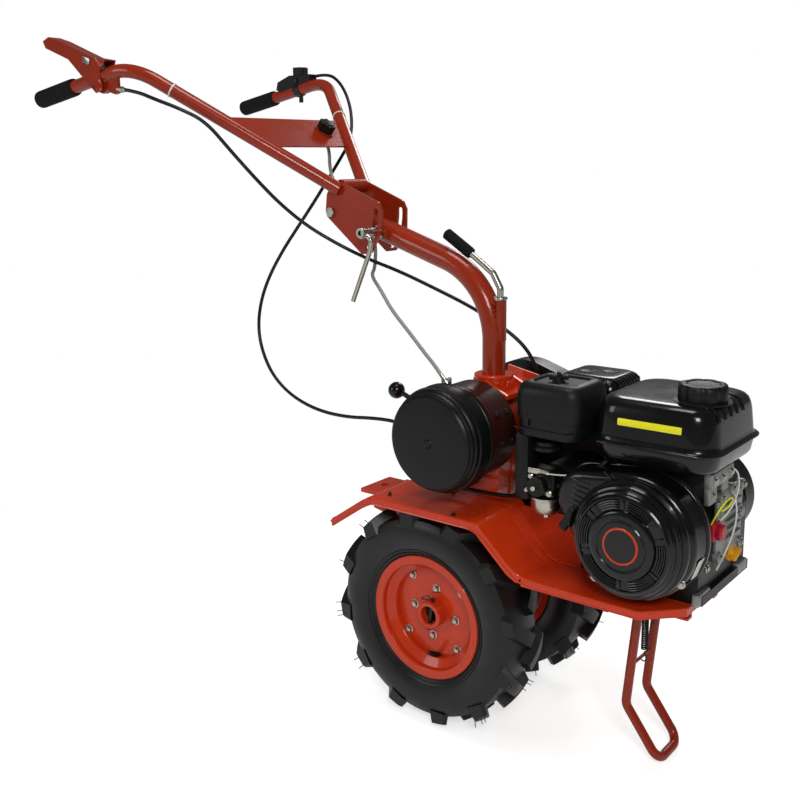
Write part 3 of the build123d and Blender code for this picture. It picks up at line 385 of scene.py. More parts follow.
for side in ("right", "left"):
    dress(tyre_rubber, f"tyre_{side}")
    dress(red_sheet, f"rim_{side}", f"hub_{side}", f"gear_case_{side}", f"frame_rail_{side}",
          f"fender_{side}")
    # The handles take the darker red: painted shade.
    dress(red_tube_painted_shade, f"handle_{side}")
    dress(grip_foam, f"grip_{side}")
# The output barrel takes the nearly black red: painted shade.
dress(dark_red_painted_shade, "output_drum")
dress(red_sheet, "engine_bed", "hitch_bracket", "column_socket", "stand_bracket")
# Column, clamp frame, cross plate, clutch lever and stand take the darker red: painted shade.
dress(red_tube_painted_shade, "column", "clamp_frame", "cross_plate", "clutch_lever", "stand")
dress(black_gloss, "blower_housing", "recoil_cover", "fuel_tank", "muffler", "rocker_cover")
dress(black_satin, "belt_guard", "output_cap", "shift_lever")
dress(moulded_black, "air_filter_box", "fuel_cap", "starter_grip", "throttle_control", "plate_knob",
      "lock_grip")
dress(zinc, "lock_rod", "pivot_bolt", "clamp_screw")
dress(dark_steel, "stand_spring", "carburettor", "axle_shaft")
dress(black_satin, "crankcase", "cylinder")
dress(yellow_plastic, "oil_dipstick")
dress(red_plastic, "stop_switch")

# %% [markdown]
# The fine parts are modelled as by hand: a primitive, a few extrusions and scalings in edit mode, and
# a modifier or two. These helpers keep that short. Each leaves its piece selected and active, modelled
# along +Z in millimetres, so that the next helper can turn it to where it belongs. The first ones grow
# a ring: extrude it, scale the new ring, and so on. From a circle that gives what a lathe turns.

# %% Growing a ring
def alone(piece):
    """Select this piece only and make it active."""
    if bpy.context.mode != "OBJECT":
        bpy.ops.object.mode_set(mode="OBJECT")
    bpy.ops.object.select_all(action="DESELECT")
    piece.select_set(True)
    bpy.context.view_layer.objects.active = piece
    return piece

def grown(ring, steps, centre=(0, 0)):
    """Extrude the active ring through (scale x, scale y, height) steps, then merge what has met."""
    bpy.ops.object.mode_set(mode="EDIT")
    bpy.ops.mesh.select_all(action="SELECT")
    wide, deep, level_now = ring
    for x, y, height in steps:
        bpy.ops.mesh.extrude_region_move(TRANSFORM_OT_translate={"value": (0, 0, (height - level_now) * MM)})
        bpy.ops.transform.resize(value=(x / wide, y / deep, 1), center_override=(*centre, 0))
        wide, deep, level_now = x, y, height
    bpy.ops.mesh.select_all(action="SELECT")
    bpy.ops.mesh.remove_doubles(threshold=0.00002)
    bpy.ops.mesh.normals_make_consistent(inside=False)
    bpy.ops.object.mode_set(mode="OBJECT")
    return bpy.context.object

def turned(profile, sides=64):
    """A turned piece from (radius, height) pairs: a circle, extruded and scaled ring by ring."""
    bpy.ops.object.select_all(action="DESELECT")
    (radius, height), *rest = [(max(r, 0.004), h) for r, h in profile]
    bpy.ops.mesh.primitive_circle_add(vertices=sides, radius=radius * MM, location=(0, 0, height * MM))
    alone(bpy.context.object)
    bpy.ops.object.transform_apply()
    return grown((radius, radius, height), [(r, r, h) for r, h in rest])

# %% [markdown]
# From any other outline the same growing gives a moulded or pressed cover. The outline starts shrunk
# to its middle, so that the cover is closed below, and every step says how far its wall stands in from
# the outline, and how high.

# %% Moulded covers
POINT = 0.02

def cut_ring(outline):
    """A closed ring of edges through these points: a circle, with each vertex put in its place."""
    bpy.ops.object.select_all(action="DESELECT")
    bpy.ops.mesh.primitive_circle_add(vertices=len(outline), radius=0.01)
    ring = alone(bpy.context.object)
    for vertex, (x, y) in zip(ring.data.vertices, outline):
        vertex.co = (x * MM, y * MM, 0)
    return ring

def round_rect(length, width, corner, steps=7):
    """The outline of a rectangle with round corners, anticlockwise from the right."""
    points = []
    for k, (sx, sy) in enumerate(((1, 1), (-1, 1), (-1, -1), (1, -1))):
        for i in range(steps + 1):
            angle = math.radians(90 * (k + i / steps))
            points.append((sx * (length / 2 - corner) + corner * math.cos(angle),
                           sy * (width / 2 - corner) + corner * math.sin(angle)))
    return points

def moulded(outline, steps):
    """A moulded or pressed cover: the outline grown through (inset, height) steps, closed at both ends."""
    ring = cut_ring(outline)
    xs, ys = [p[0] for p in outline], [p[1] for p in outline]
    length, width = max(xs) - min(xs), max(ys) - min(ys)
    centre = ((max(xs) + min(xs)) / 2 * MM, (max(ys) + min(ys)) / 2 * MM)
    bpy.ops.object.mode_set(mode="EDIT")
    bpy.ops.mesh.select_all(action="SELECT")
    bpy.ops.transform.resize(value=(POINT / length, POINT / width, 1), center_override=(*centre, 0))
    bpy.ops.object.mode_set(mode="OBJECT")
    alone(ring)
    scaled = [(max(length - 2 * inset, POINT), max(width - 2 * inset, POINT), height)
              for inset, height in steps]
    return grown((POINT, POINT, 0), scaled, centre)

# %% [markdown]
# Plates and blocks are cut flat or square, and a bevel rounds their edges, because no real edge is
# sharp.

# %% Plates and blocks
def plate(outline, thickness, edge=0.6):
    """A flat plate cut to this outline, with its edges rounded."""
    piece = cut_ring(outline)
    bpy.ops.object.mode_set(mode="EDIT")
    bpy.ops.mesh.select_all(action="SELECT")
    bpy.ops.mesh.edge_face_add()
    bpy.ops.mesh.extrude_region_move(TRANSFORM_OT_translate={"value": (0, 0, thickness * MM)})
    bpy.ops.mesh.select_all(action="SELECT")
    bpy.ops.mesh.normals_make_consistent(inside=False)
    bpy.ops.object.mode_set(mode="OBJECT")
    return softened(piece, edge)

def softened(piece, edge, segments=2):
    """Round a piece's sharp edges by this many millimetres."""
    alone(piece)
    bevel = piece.modifiers.new("edges", "BEVEL")
    bevel.width = edge * MM
    bevel.segments = segments
    bevel.limit_method = "ANGLE"
    bevel.angle_limit = math.radians(35)
    bpy.ops.object.modifier_apply(modifier=bevel.name)
    return piece

def block(size, edge=1.5):
    """A small rounded block, its base on the ground plane."""
    bpy.ops.object.select_all(action="DESELECT")
    bpy.ops.mesh.primitive_cube_add(size=1, location=(0, 0, size[2] / 2 * MM), scale=[s * MM for s in size])
    alone(bpy.context.object)
    bpy.ops.object.transform_apply()
    return softened(bpy.context.object, edge)

# %% [markdown]
# Wires, hoses and weld beads are curves with a round section, turned into meshes. A wire is smooth,
# while a bead keeps its corners.

# %% Wires and beads
def wire(places, radius, smooth=True):
    """A wire or bead through places in metres, as a mesh."""
    curve = bpy.data.curves.new("wire", "CURVE")
    curve.dimensions = "3D"
    spline = curve.splines.new("NURBS" if smooth else "POLY")
    spline.points.add(len(places) - 1)
    for knot, place in zip(spline.points, places):
        knot.co = (*place, 1.0)
    if smooth:
        spline.order_u = 3
        spline.use_endpoint_u = True
    curve.resolution_u = 6
    curve.bevel_depth = radius * MM
    curve.bevel_resolution = 2
    curve.use_fill_caps = True
    piece = bpy.data.objects.new("wire", curve)
    bpy.context.collection.objects.link(piece)
    alone(piece)
    bpy.ops.object.convert(target="MESH")
    return bpy.context.object

# %% [markdown]
# The last helpers put a piece where it belongs, copy it to many seats, join parts, and give the piece
# its name, its finish and the body that it rides on, which is the chassis if no other is named.

# %% Placing and finishing
def placed(piece, turn, place):
    """Turn a piece and move it to its place, and leave both in its mesh."""
    alone(piece)
    piece.matrix_world = Matrix.Translation(place) @ turn
    bpy.ops.object.transform_apply()
    return piece

def copies(piece, seats):
    """One piece from copies of this one at (turn, place) seats."""
    made = []
    for turn, place in seats:
        twin = piece.copy()
        twin.data = piece.data.copy()
        bpy.context.collection.objects.link(twin)
        made.append(placed(twin, turn, place))
    bpy.data.objects.remove(piece)
    return joined(*made)

def joined(*parts):
    """These parts as one piece."""
    alone(parts[0])
    for part in parts[1:]:
        part.select_set(True)
    if len(parts) > 1:
        bpy.ops.object.join()
    return bpy.context.object

def finish(piece, name, material, body="chassis", stands_for=(), angle=32):
    """Name a piece, shade it, give it its material and let it ride on its body."""
    alone(piece)
    piece.name = name
    piece.data.name = name
    bpy.ops.object.shade_smooth_by_angle(angle=math.radians(angle))
    piece.data.materials.clear()
    piece.data.materials.append(material)
    if stands_for:
        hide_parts(*stands_for)
    print(name, len(piece.data.polygons), "faces")
    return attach(piece, body)

# %% [markdown]
# A machine is held together by screws. One hexagon screw with its washer and one dome-headed rim bolt
# are modelled once, and their copies go wherever the real machine shows them.

# %% Screws
def hex_screw(flats, washer):
    """A hexagon screw head on its washer, standing on the ground plane."""
    corner = flats * 0.577
    head = turned([(0, 1.2), (corner, 1.2), (corner, flats * 0.45), (flats * 0.5, flats * 0.55),
                   (flats * 0.3, flats * 0.56), (flats * 0.28, flats * 0.50), (0, flats * 0.50)], sides=6)
    disc = turned([(0, 0), (washer, 0), (washer, 1.2), (washer - 0.4, 1.5), (0, 1.5)], sides=28)
    return joined(head, disc)

def rim_bolt(radius):
    """A dome-headed bolt on its spring washer."""
    return turned([(0, 0), (radius + 2, 0), (radius + 2, 1.6), (radius + 0.4, 2.0), (radius, 2.2),
                   (radius, 4.5), (radius * 0.82, 6.4), (radius * 0.5, 7.4), (0, 7.8)], sides=24)

# %% [markdown]
# Each wheel is a pressed steel disc welded into its rim and bolted to the hub: four bolts on an outer
# circle clamp the rim halves, and four near the middle hold the hub. The rim's edge is rolled over a
# thin bead, made as an open turned strip and given its sheet's thickness by a modifier.

# %% Rim bolts and rim bead
SIDES = (("right", -1, TO_RIGHT), ("left", 1, TO_LEFT))

for side, sign, turn in SIDES:
    face = sign * (WHEEL + 6)
    seats = []
    for ring, first in ((78, 40), (46, 85)):
        for k in range(4):
            angle = math.radians(first + 90 * k)
            seats.append((turn, at(ring * math.cos(angle), face, ring * math.sin(angle))))
    finish(copies(rim_bolt(6.4), seats), f"rim_bolts_{side}", zinc, f"{side}_wheel")
    bead = turned([(103, 36.6), (108, 38.2), (112.5, 38.2), (114.2, 36.6), (114.4, 34.8)], sides=96)
    solid = alone(bead).modifiers.new("sheet", "SOLIDIFY")
    solid.thickness = 0.8 * MM
    bpy.ops.object.modifier_apply(modifier=solid.name)
    finish(placed(bead, turn, at(0, sign * WHEEL, 0)), f"rim_bead_{side}", red_sheet, f"{side}_wheel")

# %% [markdown]
# A rubber valve stem leans out of a hole in the disc, and a blackened pin crosses the hub to key it to
# the shaft, held by a loop of spring wire.

# %% Valve stem and hub
PIN_OUT = 139

for side, sign, turn in SIDES:
    face = sign * (WHEEL + 6)
    lean = math.radians(-85)
    foot = at(84 * math.cos(lean), face, 84 * math.sin(lean))
    tip = at(66 * math.cos(lean), face + sign * 30, 66 * math.sin(lean))
    stem = turned([(0, -2), (7.5, -2), (7.5, 1), (5.2, 4), (4.4, 18), (4.4, 26), (3.8, 27), (3.8, 33),
                   (2.6, 34), (0, 34)], sides=24)
    finish(placed(stem, facing(tip - foot), foot), f"valve_stem_{side}", moulded_black, f"{side}_wheel")
    collar = turned([(17.2, 27.6), (19, 28.6), (23.5, 28.6), (25.2, 27.2), (25.4, 25.5)], sides=64)
    finish(placed(collar, turn, at(0, sign * WHEEL, 0)), f"hub_lip_{side}", red_sheet, f"{side}_wheel")
    pin = turned([(0, -31), (3.2, -31), (3.8, -30), (3.8, 30), (3.2, 31), (0, 31)], sides=20)
    pin = placed(pin, Matrix.Rotation(math.radians(8), 4, "Y"), at(0, sign * PIN_OUT, 0))
    loop = [at(-6 + 13 * math.cos(a / 5), sign * (PIN_OUT + 5 * math.sin(a / 2)), 27 + 4 * math.sin(a / 5))
            for a in range(0, 30, 2)]
    finish(joined(pin, wire(loop, 0.9)), f"hub_pin_{side}", dark_steel, f"{side}_wheel")

# %% [markdown]
# A new farm tyre still wears the thin rubber hairs of its mould vents, two on the end of each lug,
# and its sidewall carries fine raised rings where the mould halves and the bead plates met. The hairs
# stand on the lugs' outer corners, so those are looked up in the tyre's own mesh: its vertices near
# the tread's edge are sorted by lug, and each lug's outermost ones give its two corners. The lugs that
# stand on the ground get none.

# %% Tyre details
LUG_TIP, LUG_SIDE, LUG_PITCH = 186, 25, 30

for side, sign, turn in SIDES:
    hairs, lugs = [], {}
    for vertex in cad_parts[f"tyre_{side}"].data.vertices:
        spot = (vertex.co - AXLE) / MM
        radius, off = math.hypot(spot.x, spot.z), spot.y - sign * WHEEL
        if radius > LUG_TIP and abs(off) > LUG_SIDE:
            half = 1 if off > 0 else -1
            angle = math.degrees(math.atan2(spot.z, spot.x)) + 360
            lug = (half, int((angle + 3.3 - (0 if half > 0 else 15)) // LUG_PITCH) % 12)
            lugs.setdefault(lug, []).append((abs(off) + 0.5 * radius, angle, spot))
    for half, k in sorted(lugs):
        corners = sorted(lugs[half, k], key=lambda corner: corner[0])[-6:]
        for far in (min(corners, key=lambda corner: corner[1]), max(corners, key=lambda corner: corner[1])):
            spot = far[2]
            out = Vector((spot.x, 0, spot.z)).normalized() * 9 + Vector((0, half * 5, 0))
            if spot.z > -180:
                hairs.append(wire([at(*(spot - 0.15 * out)), at(*(spot + 0.6 * out + Vector((0, 0, 0.8)))),
                                   at(*(spot + out))], 0.8))
    print(side, "lugs", len(lugs), "hairs", len(hairs))
    finish(joined(*hairs), f"vent_hairs_{side}", tyre_rubber, f"{side}_wheel")
    rings = []
    for radius, height in ((121, 41.6), (127, 44.8), (168, 46.2)):
        bpy.ops.object.select_all(action="DESELECT")
        bpy.ops.mesh.primitive_torus_add(major_segments=96, minor_segments=8, major_radius=radius * MM,
                                         minor_radius=0.9 * MM, location=(0, 0, height * MM))
        bpy.ops.object.transform_apply()
        rings.append(bpy.context.object)
    finish(placed(joined(*rings), turn, at(0, sign * WHEEL, 0)), f"sidewall_rings_{side}", tyre_rubber,
           f"{side}_wheel")

# %% [markdown]
# The power take-off on the right is closed by a deep drawn steel cap. Drawing it left small steps
# where the wall meets the domed face, and a dimple in the middle from the press.

# %% Drum cap
DRUM_RADIUS = 85

cap = turned([
    (84, 0), (93, 0), (94, 1), (94, 4), (93, 5), (93, 31), (92, 33.5), (89.5, 34.5), (89, 36), (89, 42),
    (87.6, 44), (86.4, 45), (86, 49), (84.5, 51.5), (83, 52.5), (82, 55.5), (78.5, 58.4), (72, 59.3),
    (40, 59.9), (11, 60), (8.5, 59.9), (7.6, 58.8), (6.8, 58.6), (5.6, 59.8), (3, 60), (0, 60)], sides=112)
finish(placed(cap, TO_RIGHT, at(SHAFT_X, -130, SHAFT_Z)), "drawn_drum_cap", black_satin, "chassis",
       ("output_cap",), 24)
# The band on the drum takes the same nearly black red as the barrel: painted shade.
band = turned([(85.1, 0), (87.6, 0), (87.6, 1), (87, 3), (87.6, 5), (87.6, 12), (85.1, 12)], sides=96)
finish(placed(band, TO_RIGHT, at(SHAFT_X, -104, SHAFT_Z)), "drum_band", dark_red_painted_shade)
screws = []
for y in (-62, -92):
    for angle in (0.5, -0.1, 2.2):
        out = Vector((math.cos(angle), 0, math.sin(angle)))
        screws.append((facing(out), at(SHAFT_X + DRUM_RADIUS * out.x, y, SHAFT_Z + DRUM_RADIUS * out.z)))
finish(copies(hex_screw(8, 6), screws), "drum_screws", dark_steel)

# %% [markdown]
# The drum cable ends in an adjuster: a threaded barrel that turns in a stud on the drum and takes up
# the cable's slack.

# %% Cable adjuster
slant = Vector((-30, 14, 21.1)).normalized()
root = at(22, -117, 422.9)
barrel = turned([(0, -12), (4.2, -12), (4.2, -3), (7, -3), (7, 3), (5, 3.5), (5, 9), (6.2, 9.5), (6.2, 13),
                 (3.9, 16), (3.8, 26), (3.6, 26)], sides=24)
barrel = placed(barrel, facing(slant), root)
stud = turned([(0, -8), (5.5, -8), (5.5, 0), (3.4, 0), (3.4, 12), (2.6, 13), (0, 13)], sides=20)
stud = placed(stud, TO_TOP, at(30, -121, 425))
finish(joined(barrel, stud), "cable_adjuster", zinc)

# %% [markdown]
# Sheet steel on a fender never ends in a raw edge: it is rolled over, which stiffens it and catches a
# bright line of light. The rolls, the weld beads and the screws along the edge are laid over the plain
# solids, on the same lines. The height of the fender's top is worked out from its corners, averaged
# over a short way as the press rounds its bends.

# %% The fender's line
def fender_height(x):
    """The top of the fender at this x, with its bends rounded as the press left them."""
    corners = [(-195, 151), (-100, 216), (133, 216), (190, 142), (205, 130), (470, 130)]
    total = 0
    for k in range(-6, 7):
        here = min(max(x + 2.2 * k, -195), 470)
        for (x0, z0), (x1, z1) in zip(corners, corners[1:]):
            if x0 <= here <= x1:
                total += z0 + (z1 - z0) * (here - x0) / (x1 - x0)
                break
    return total / 13

print("fender top at", round(fender_height(0)), "mm over the axle")

# %% [markdown]
# The roll is one wire along the outer edge, from the tail over the flat top and down the slope to the
# engine bed. A second, thinner one below it is the hem. The crease and the weld seam follow the slope.

# %% Fender rolls, seams and screws
FENDER_EDGE = 189.6

for side, sign, _ in SIDES:
    run = [at(-193, sign * 66, fender_height(-193) - 1), at(-194, sign * 120, fender_height(-194) - 1),
           at(-194, sign * 180, fender_height(-194) - 1), at(-191, sign * 189, fender_height(-191) - 2)]
    for x in range(-180, 134, 12):
        run.append(at(x, sign * FENDER_EDGE, fender_height(x) - 1.5))
    for x in range(142, 206, 9):
        run.append(at(x, sign * (FENDER_EDGE - 25 * (x - 133) / 72), fender_height(x) - 1.5))
    for x in (230, 290, 350, 405, 414):
        run.append(at(x, sign * 164.2, 128))
    run += [at(424, sign * 155, 128), at(462, sign * 117, 128), at(469, sign * 106, 128)]
    roll = wire(run, 2.4)
    hem = wire([point - Vector((0, 0, 0.0105)) for point in run[3:-3]], 1.8)
    finish(joined(roll, hem), f"fender_rolled_edge_{side}", red_sheet)
    crease = [at(x, sign * (92 - 0.1 * (x - 140)), fender_height(x) + 0.6) for x in range(136, 204, 8)]
    seam = [at(x, sign * 66.5, fender_height(x) + 0.4) for x in range(140, 262, 9)]
    finish(joined(wire(crease, 2.0), wire(seam, 2.6)), f"fender_seam_{side}", red_sheet)
    seats = [(TO_TOP, at(x, sign * y, fender_height(x) - 1)) for x, y in ((-75, 160), (78, 178), (10, 84))]
    finish(copies(rim_bolt(2.6), seats), f"fender_screws_{side}", dark_steel)
bar = wire([at(469, -106, 128), at(470, 0, 128), at(469, 106, 128)], 2.4)
finish(bar, "bed_front_edge", red_sheet)
seats = [(TO_TOP, at(x, y, 130)) for x in (298, 466) for y in (-84, 84)]
finish(copies(hex_screw(12, 11), seats), "engine_foot_screws", zinc)

# %% [markdown]
# The fuel tank is two deep pressings joined at a rolled lip. It is grown ring by ring from its round
# cornered outline, so the walls lean in a little and the top edge rolls over softly. A plain yellow
# strip runs along its side, and five short ribs stiffen the front edge.

# %% Fuel tank
tank = moulded(round_rect(217, 222, 44, 9), [
    (26, 0), (19, 1), (14, 4), (10, 10), (7, 27), (6, 31), (1.5, 31.6), (0, 33), (0, 35), (1.5, 36.4),
    (6, 37), (7.2, 39), (8, 46), (11, 78), (13, 88), (16, 95), (20.5, 99.6), (27, 102.2), (36, 103),
    (60, 103.4), (112, 103.6)])
finish(placed(tank, TO_TOP, at(402.5, -25, 342)), "pressed_fuel_tank", black_gloss, "chassis",
       ("fuel_tank",), 50)
ribs = [wire([at(472, y, 444.6), at(488, y, 443.5), at(496.5, y, 436), at(499.5, y, 424)], 2.6)
        for y in (-92, -68, -44, -20, 4)]
finish(joined(*ribs), "tank_ribs", black_gloss)
lean_in = Matrix.Rotation(math.radians(-4.8), 4, "X") @ TO_RIGHT
strip = placed(plate(round_rect(104, 11, 1.5, 3), 0.5, 0.1), lean_in, at(404, -126.1, 411))
finish(strip, "plain_tank_strip", yellow_film)

# %% [markdown]
# The tank's cap is a plastic knob with eight finger hollows in its edge, and it stands on a steel neck.
# Its outline is a circle that a cosine dents.

# %% Fuel cap
def lobed(radius, dent, lobes, sharpness, points):
    """A round outline with this many hollows, each as deep as the dent."""
    outline = []
    for k in range(points):
        angle = math.radians(360 / points * k)
        reach = radius - dent * (0.5 - 0.5 * math.cos(lobes * angle)) ** sharpness
        outline.append((reach * math.cos(angle), reach * math.sin(angle)))
    return outline

cap = moulded(lobed(38.4, 3.4, 8, 3, 96), [
    (6, -2), (4, 0), (1, 1.5), (0, 4), (0, 20), (1, 23.5), (3.2, 26), (6.5, 27), (11, 27), (12.5, 25.6),
    (14, 25.2), (36, 25.0), (39, 25.0)])
neck = turned([(0, -1), (44, -1), (44, 0.8), (36, 2.4), (31, 3), (0, 3)], sides=48)
finish(placed(joined(cap, neck), TO_TOP, at(458, -56, 445)), "fluted_fuel_cap", moulded_black, "chassis",
       ("fuel_cap",))

# %% [markdown]
# The air filter sits under a grained plastic cover: a lower tray, a deep lid that steps over it, and a
# sunken top where one wing nut holds everything down.

# %% Air filter
box = moulded(round_rect(120, 115, 24, 7), [
    (12, 0), (6, 1), (3.4, 5), (3, 29), (3, 31), (0.3, 31.6), (0, 33), (0, 68), (1, 76), (3.4, 83),
    (7.5, 87.6), (13, 89.6), (20, 90), (21.5, 88.8), (23, 86.5), (56, 86), (60, 86)])
finish(placed(box, TO_TOP, at(229, -82.5, 363)), "filter_cover", moulded_black, "chassis",
       ("air_filter_box",), 40)
nut = turned([(0, 0), (11, 0), (11, 2), (6, 3), (5.4, 9), (3.4, 9.5), (3.2, 17), (0, 17.5)], sides=20)
skew = Matrix.Rotation(math.radians(28), 4, "Z")
wings = [placed(block((13, 3, 9), 1.2), skew, Vector((8.5 * s, 4.5 * s, 3)) * MM) for s in (-1, 1)]
finish(placed(joined(nut, *wings), TO_TOP, at(224, -84, 449)), "filter_wing_nut", dark_steel)
tray = wire([at(172, -137, 377), at(230, -138.4, 377), at(284, -136, 377)], 1.4)
clip = placed(block((10, 4, 26), 1.2), TO_TOP, at(196, -138.5, 382))
finish(joined(tray, clip), "filter_clip", moulded_black)

# %% [markdown]
# The muffler wears a black steel shield, pressed in one piece, with a row of slots around its shoulder
# and two openings in its top to let the heat out.

# %% Muffler shield
shield = moulded(round_rect(120, 114, 20, 7), [
    (2, 0), (0, 1), (0, 70), (1.5, 78), (5, 85), (10, 90), (16, 92.6), (22, 93), (50, 93.5), (60, 93.5)])
finish(placed(shield, TO_TOP, at(228, 47, 352)), "muffler_shield", black_gloss, "chassis", ("muffler",), 45)
# The slots and openings are not cut: dark matte blocks and discs stand on the shield in their place, as
# painted shade for the holes.
slots = []
for k in range(11):
    slots.append(placed(block((4.4, 13, 2.4), 0.8), Matrix.Rotation(math.radians(38), 4, "X"),
                        at(180 + 9.6 * k, -5.2, 437.2)))
for k in range(8):
    slots.append(placed(block((13, 4.4, 2.4), 0.8), Matrix.Rotation(math.radians(38), 4, "Y"),
                        at(283, 8 + 10.4 * k, 437.2)))
for x, y in ((212, 34), (246, 52)):
    opening = turned([(0, 0), (13, 0), (13, 1.0), (11.5, 1.2), (10, 0.4), (0, 0.4)], sides=32)
    slots.append(placed(opening, TO_TOP, at(x, y, 445.2)))
finish(joined(*slots), "shield_slots_painted_shade", tyre_rubber)

# %% [markdown]
# The engine breathes through the recoil cover: the fan behind it pulls air in through rings of louvres.
# The cover is a steel pressing, and its stepped rings are turned here as one profile, from the edge to
# the middle.

# %% Recoil cover
crank = at(CRANK_X, -148, CRANK_Z)
cover = turned([
    (0, 0), (95, 0), (95.4, 1), (95.4, 6), (94, 9), (91, 11), (89.4, 12), (89, 14), (89, 19), (87.5, 21.5),
    (84.6, 22.6), (83.4, 24), (83, 27), (81, 29.5), (78.6, 30.4), (77.6, 31.6), (77, 33.4), (75, 35),
    (72.4, 35.4), (71.4, 34.2), (70.8, 32.4), (56, 32.6), (54.4, 34), (53.4, 36.4), (51, 37.8),
    (46, 38.2), (42, 38.4), (40.4, 37.2), (39, 37), (37.6, 38.2), (36, 38.4), (0, 38.4)], sides=112)
finish(placed(cover, TO_RIGHT, crank), "recoil_pressing", black_gloss, "chassis", ("recoil_cover",), 28)

# %% [markdown]
# The louvres are four thin arcs in each of six fields, with short ribs between them. The round badge in
# the middle is left blank, a black disc with a red rim.

# %% Louvres and badge
bars = []
for first, last in ((-78, -38), (-28, 14), (46, 84), (96, 134), (150, 190), (206, 262)):
    for radius in (58.6, 62.4, 66.2, 69.6):
        arc = []
        for degrees in range(first, last + 1, 4):
            a = math.radians(degrees)
            arc.append(at(CRANK_X + radius * math.cos(a), -182.2, CRANK_Z + radius * math.sin(a)))
        bars.append(wire(arc, 1.25, smooth=False))
for degrees in (-33, 20, 40, 90, 142, 198, 268):
    rib = placed(block((15, 5, 3), 1.2), TO_RIGHT, Vector((64 * MM, 0, 0)))
    bars.append(placed(rib, Matrix.Rotation(-math.radians(degrees), 4, "Y"), at(CRANK_X, -179.4, CRANK_Z)))
finish(joined(*bars), "recoil_louvres", black_gloss)
rim = turned([(26, 38.4), (26, 39.6), (26.6, 40), (28.6, 40), (29.2, 39.2), (29.4, 38.2)], sides=72)
finish(placed(rim, TO_RIGHT, crank), "badge_rim", red_sheet)
disc = turned([(26.2, 38.6), (26, 39.2), (0, 39.4)], sides=72)
finish(placed(disc, TO_RIGHT, crank), "blank_badge", black_gloss)

# %% [markdown]
# The blower housing behind it leads the air round the flywheel and over to the cylinder, so its outline
# is that of a belt on a large and a small circle. It is grown like the other covers.

# %% Blower housing
def belt_outline(x0, z0, r0, x1, z1, r1, steps=40):
    """The outline round two circles, as a belt would lie on them."""
    gap = math.hypot(x1 - x0, z1 - z0)
    along, flare = math.atan2(z1 - z0, x1 - x0), math.acos((r0 - r1) / gap)
    outline = []
    for i in range(steps + 1):
        a = along + flare + (2 * math.pi - 2 * flare) * i / steps
        outline.append((x0 + r0 * math.cos(a), z0 + r0 * math.sin(a)))
    for i in range(17):
        a = along - flare + 2 * flare * i / 16
        outline.append((x1 + r1 * math.cos(a), z1 + r1 * math.sin(a)))
    return outline

housing = moulded(belt_outline(CRANK_X, CRANK_Z, 104, 300, 284, 46), [
    (5, 0), (0.5, 0.6), (0, 2), (0, 7), (0.6, 8), (3, 8.6), (3.6, 10), (3.6, 42), (4.6, 48), (7.5, 52.6),
    (12, 55), (18, 56), (60, 56.4), (100, 56.4), (130, 56.4)])
finish(placed(housing, TO_RIGHT, at(0, -92, 0)), "blower_pressing", black_gloss, "chassis",
       ("blower_housing",), 45)

# %% [markdown]
# On the housing's face are short louvres over the cylinder, four screws, a plain pale label on its
# round edge, and the guide that the starter's rope runs through.

# %% Blower details
louvres = [placed(block((30, 3.2, 3.4), 1.2), TO_RIGHT @ Matrix.Rotation(math.radians(-8), 4, "Z"),
                  at(298 + 1.2 * k, -146.6, 268 + 8.5 * k)) for k in range(6)]
louvres += [placed(block((22, 3.2, 3.4), 1.2), TO_RIGHT @ Matrix.Rotation(math.radians(-38), 4, "Z"),
                   at(352 + 13 * k, -146.4, 328 - 1.4 * k * k)) for k in range(4)]
finish(joined(*louvres), "blower_louvres", black_gloss)
places = ((459, -145, 282), (318, -147.5, 262), (472, -143, 182), (330, -145, 158))
seats = [(TO_RIGHT, at(*place)) for place in places]
finish(copies(hex_screw(9, 7.5), seats), "blower_screws", zinc)
LABEL_RADIUS, LABEL_ANGLE = 100.9, math.radians(-20)
out = Vector((math.cos(LABEL_ANGLE), 0, math.sin(LABEL_ANGLE)))
label = placed(plate(round_rect(22, 34, 1.5, 3), 0.5, 0.1), facing(out),
               at(CRANK_X + LABEL_RADIUS * out.x, -118, CRANK_Z + LABEL_RADIUS * out.z))
finish(label, "blank_label", white_film)
pull = placed(turned([(0, 0), (8, 0), (9, 2), (9, 10), (7, 14), (0, 14)], sides=24), facing((-0.86, 0, 0.51)),
              at(322, -165, 244))
finish(pull, "starter_rope_guide", dark_steel)

# %% [markdown]
# Below the filter hangs the carburettor, a small casting with a round float bowl. A square body, a
# turned choke housing and a flange up to the filter are joined, and a black elbow beside them leads
# the filter's air down.

# %% Carburettor
bowl = turned([(0, 0), (14, 0), (21, 3), (24.5, 9), (25.6, 16), (25.8, 26), (27.5, 27), (27.5, 30), (22, 31),
               (0, 31)], sides=40)
nut = turned([(0, -7), (6.4, -7), (6.4, 0), (0, 0)], sides=6)
finish(placed(joined(bowl, nut), TO_TOP, at(217, -107, 230)), "float_bowl", zinc)
body = placed(block((50, 34, 46), 5), TO_TOP, at(219, -112, 264))
choke = turned([(0, 0), (17, 0), (17, 4), (13, 6), (13, 20), (16, 22), (16, 26), (0, 26)], sides=32)
choke = placed(choke, TO_RIGHT, at(222, -126, 286))
flange = turned([(0, 0), (24, 0), (24, 6), (20, 8), (20, 14), (0, 14)], sides=32)
flange = placed(flange, TO_TOP, at(217, -107, 340))
intake = placed(block((46, 40, 46), 4), TO_TOP, at(217, -80, 246))
finish(joined(body, choke, flange, intake), "carburettor_body", black_satin, "chassis", ("carburettor",))
elbow = placed(block((26, 44, 112), 5), TO_TOP, at(184, -112, 253))
finish(elbow, "filter_elbow", moulded_black)

# %% [markdown]
# Its screws are short turned studs. A lever arm and a bent wire link it to the governor, and a rubber
# hose brings the petrol from the tank.

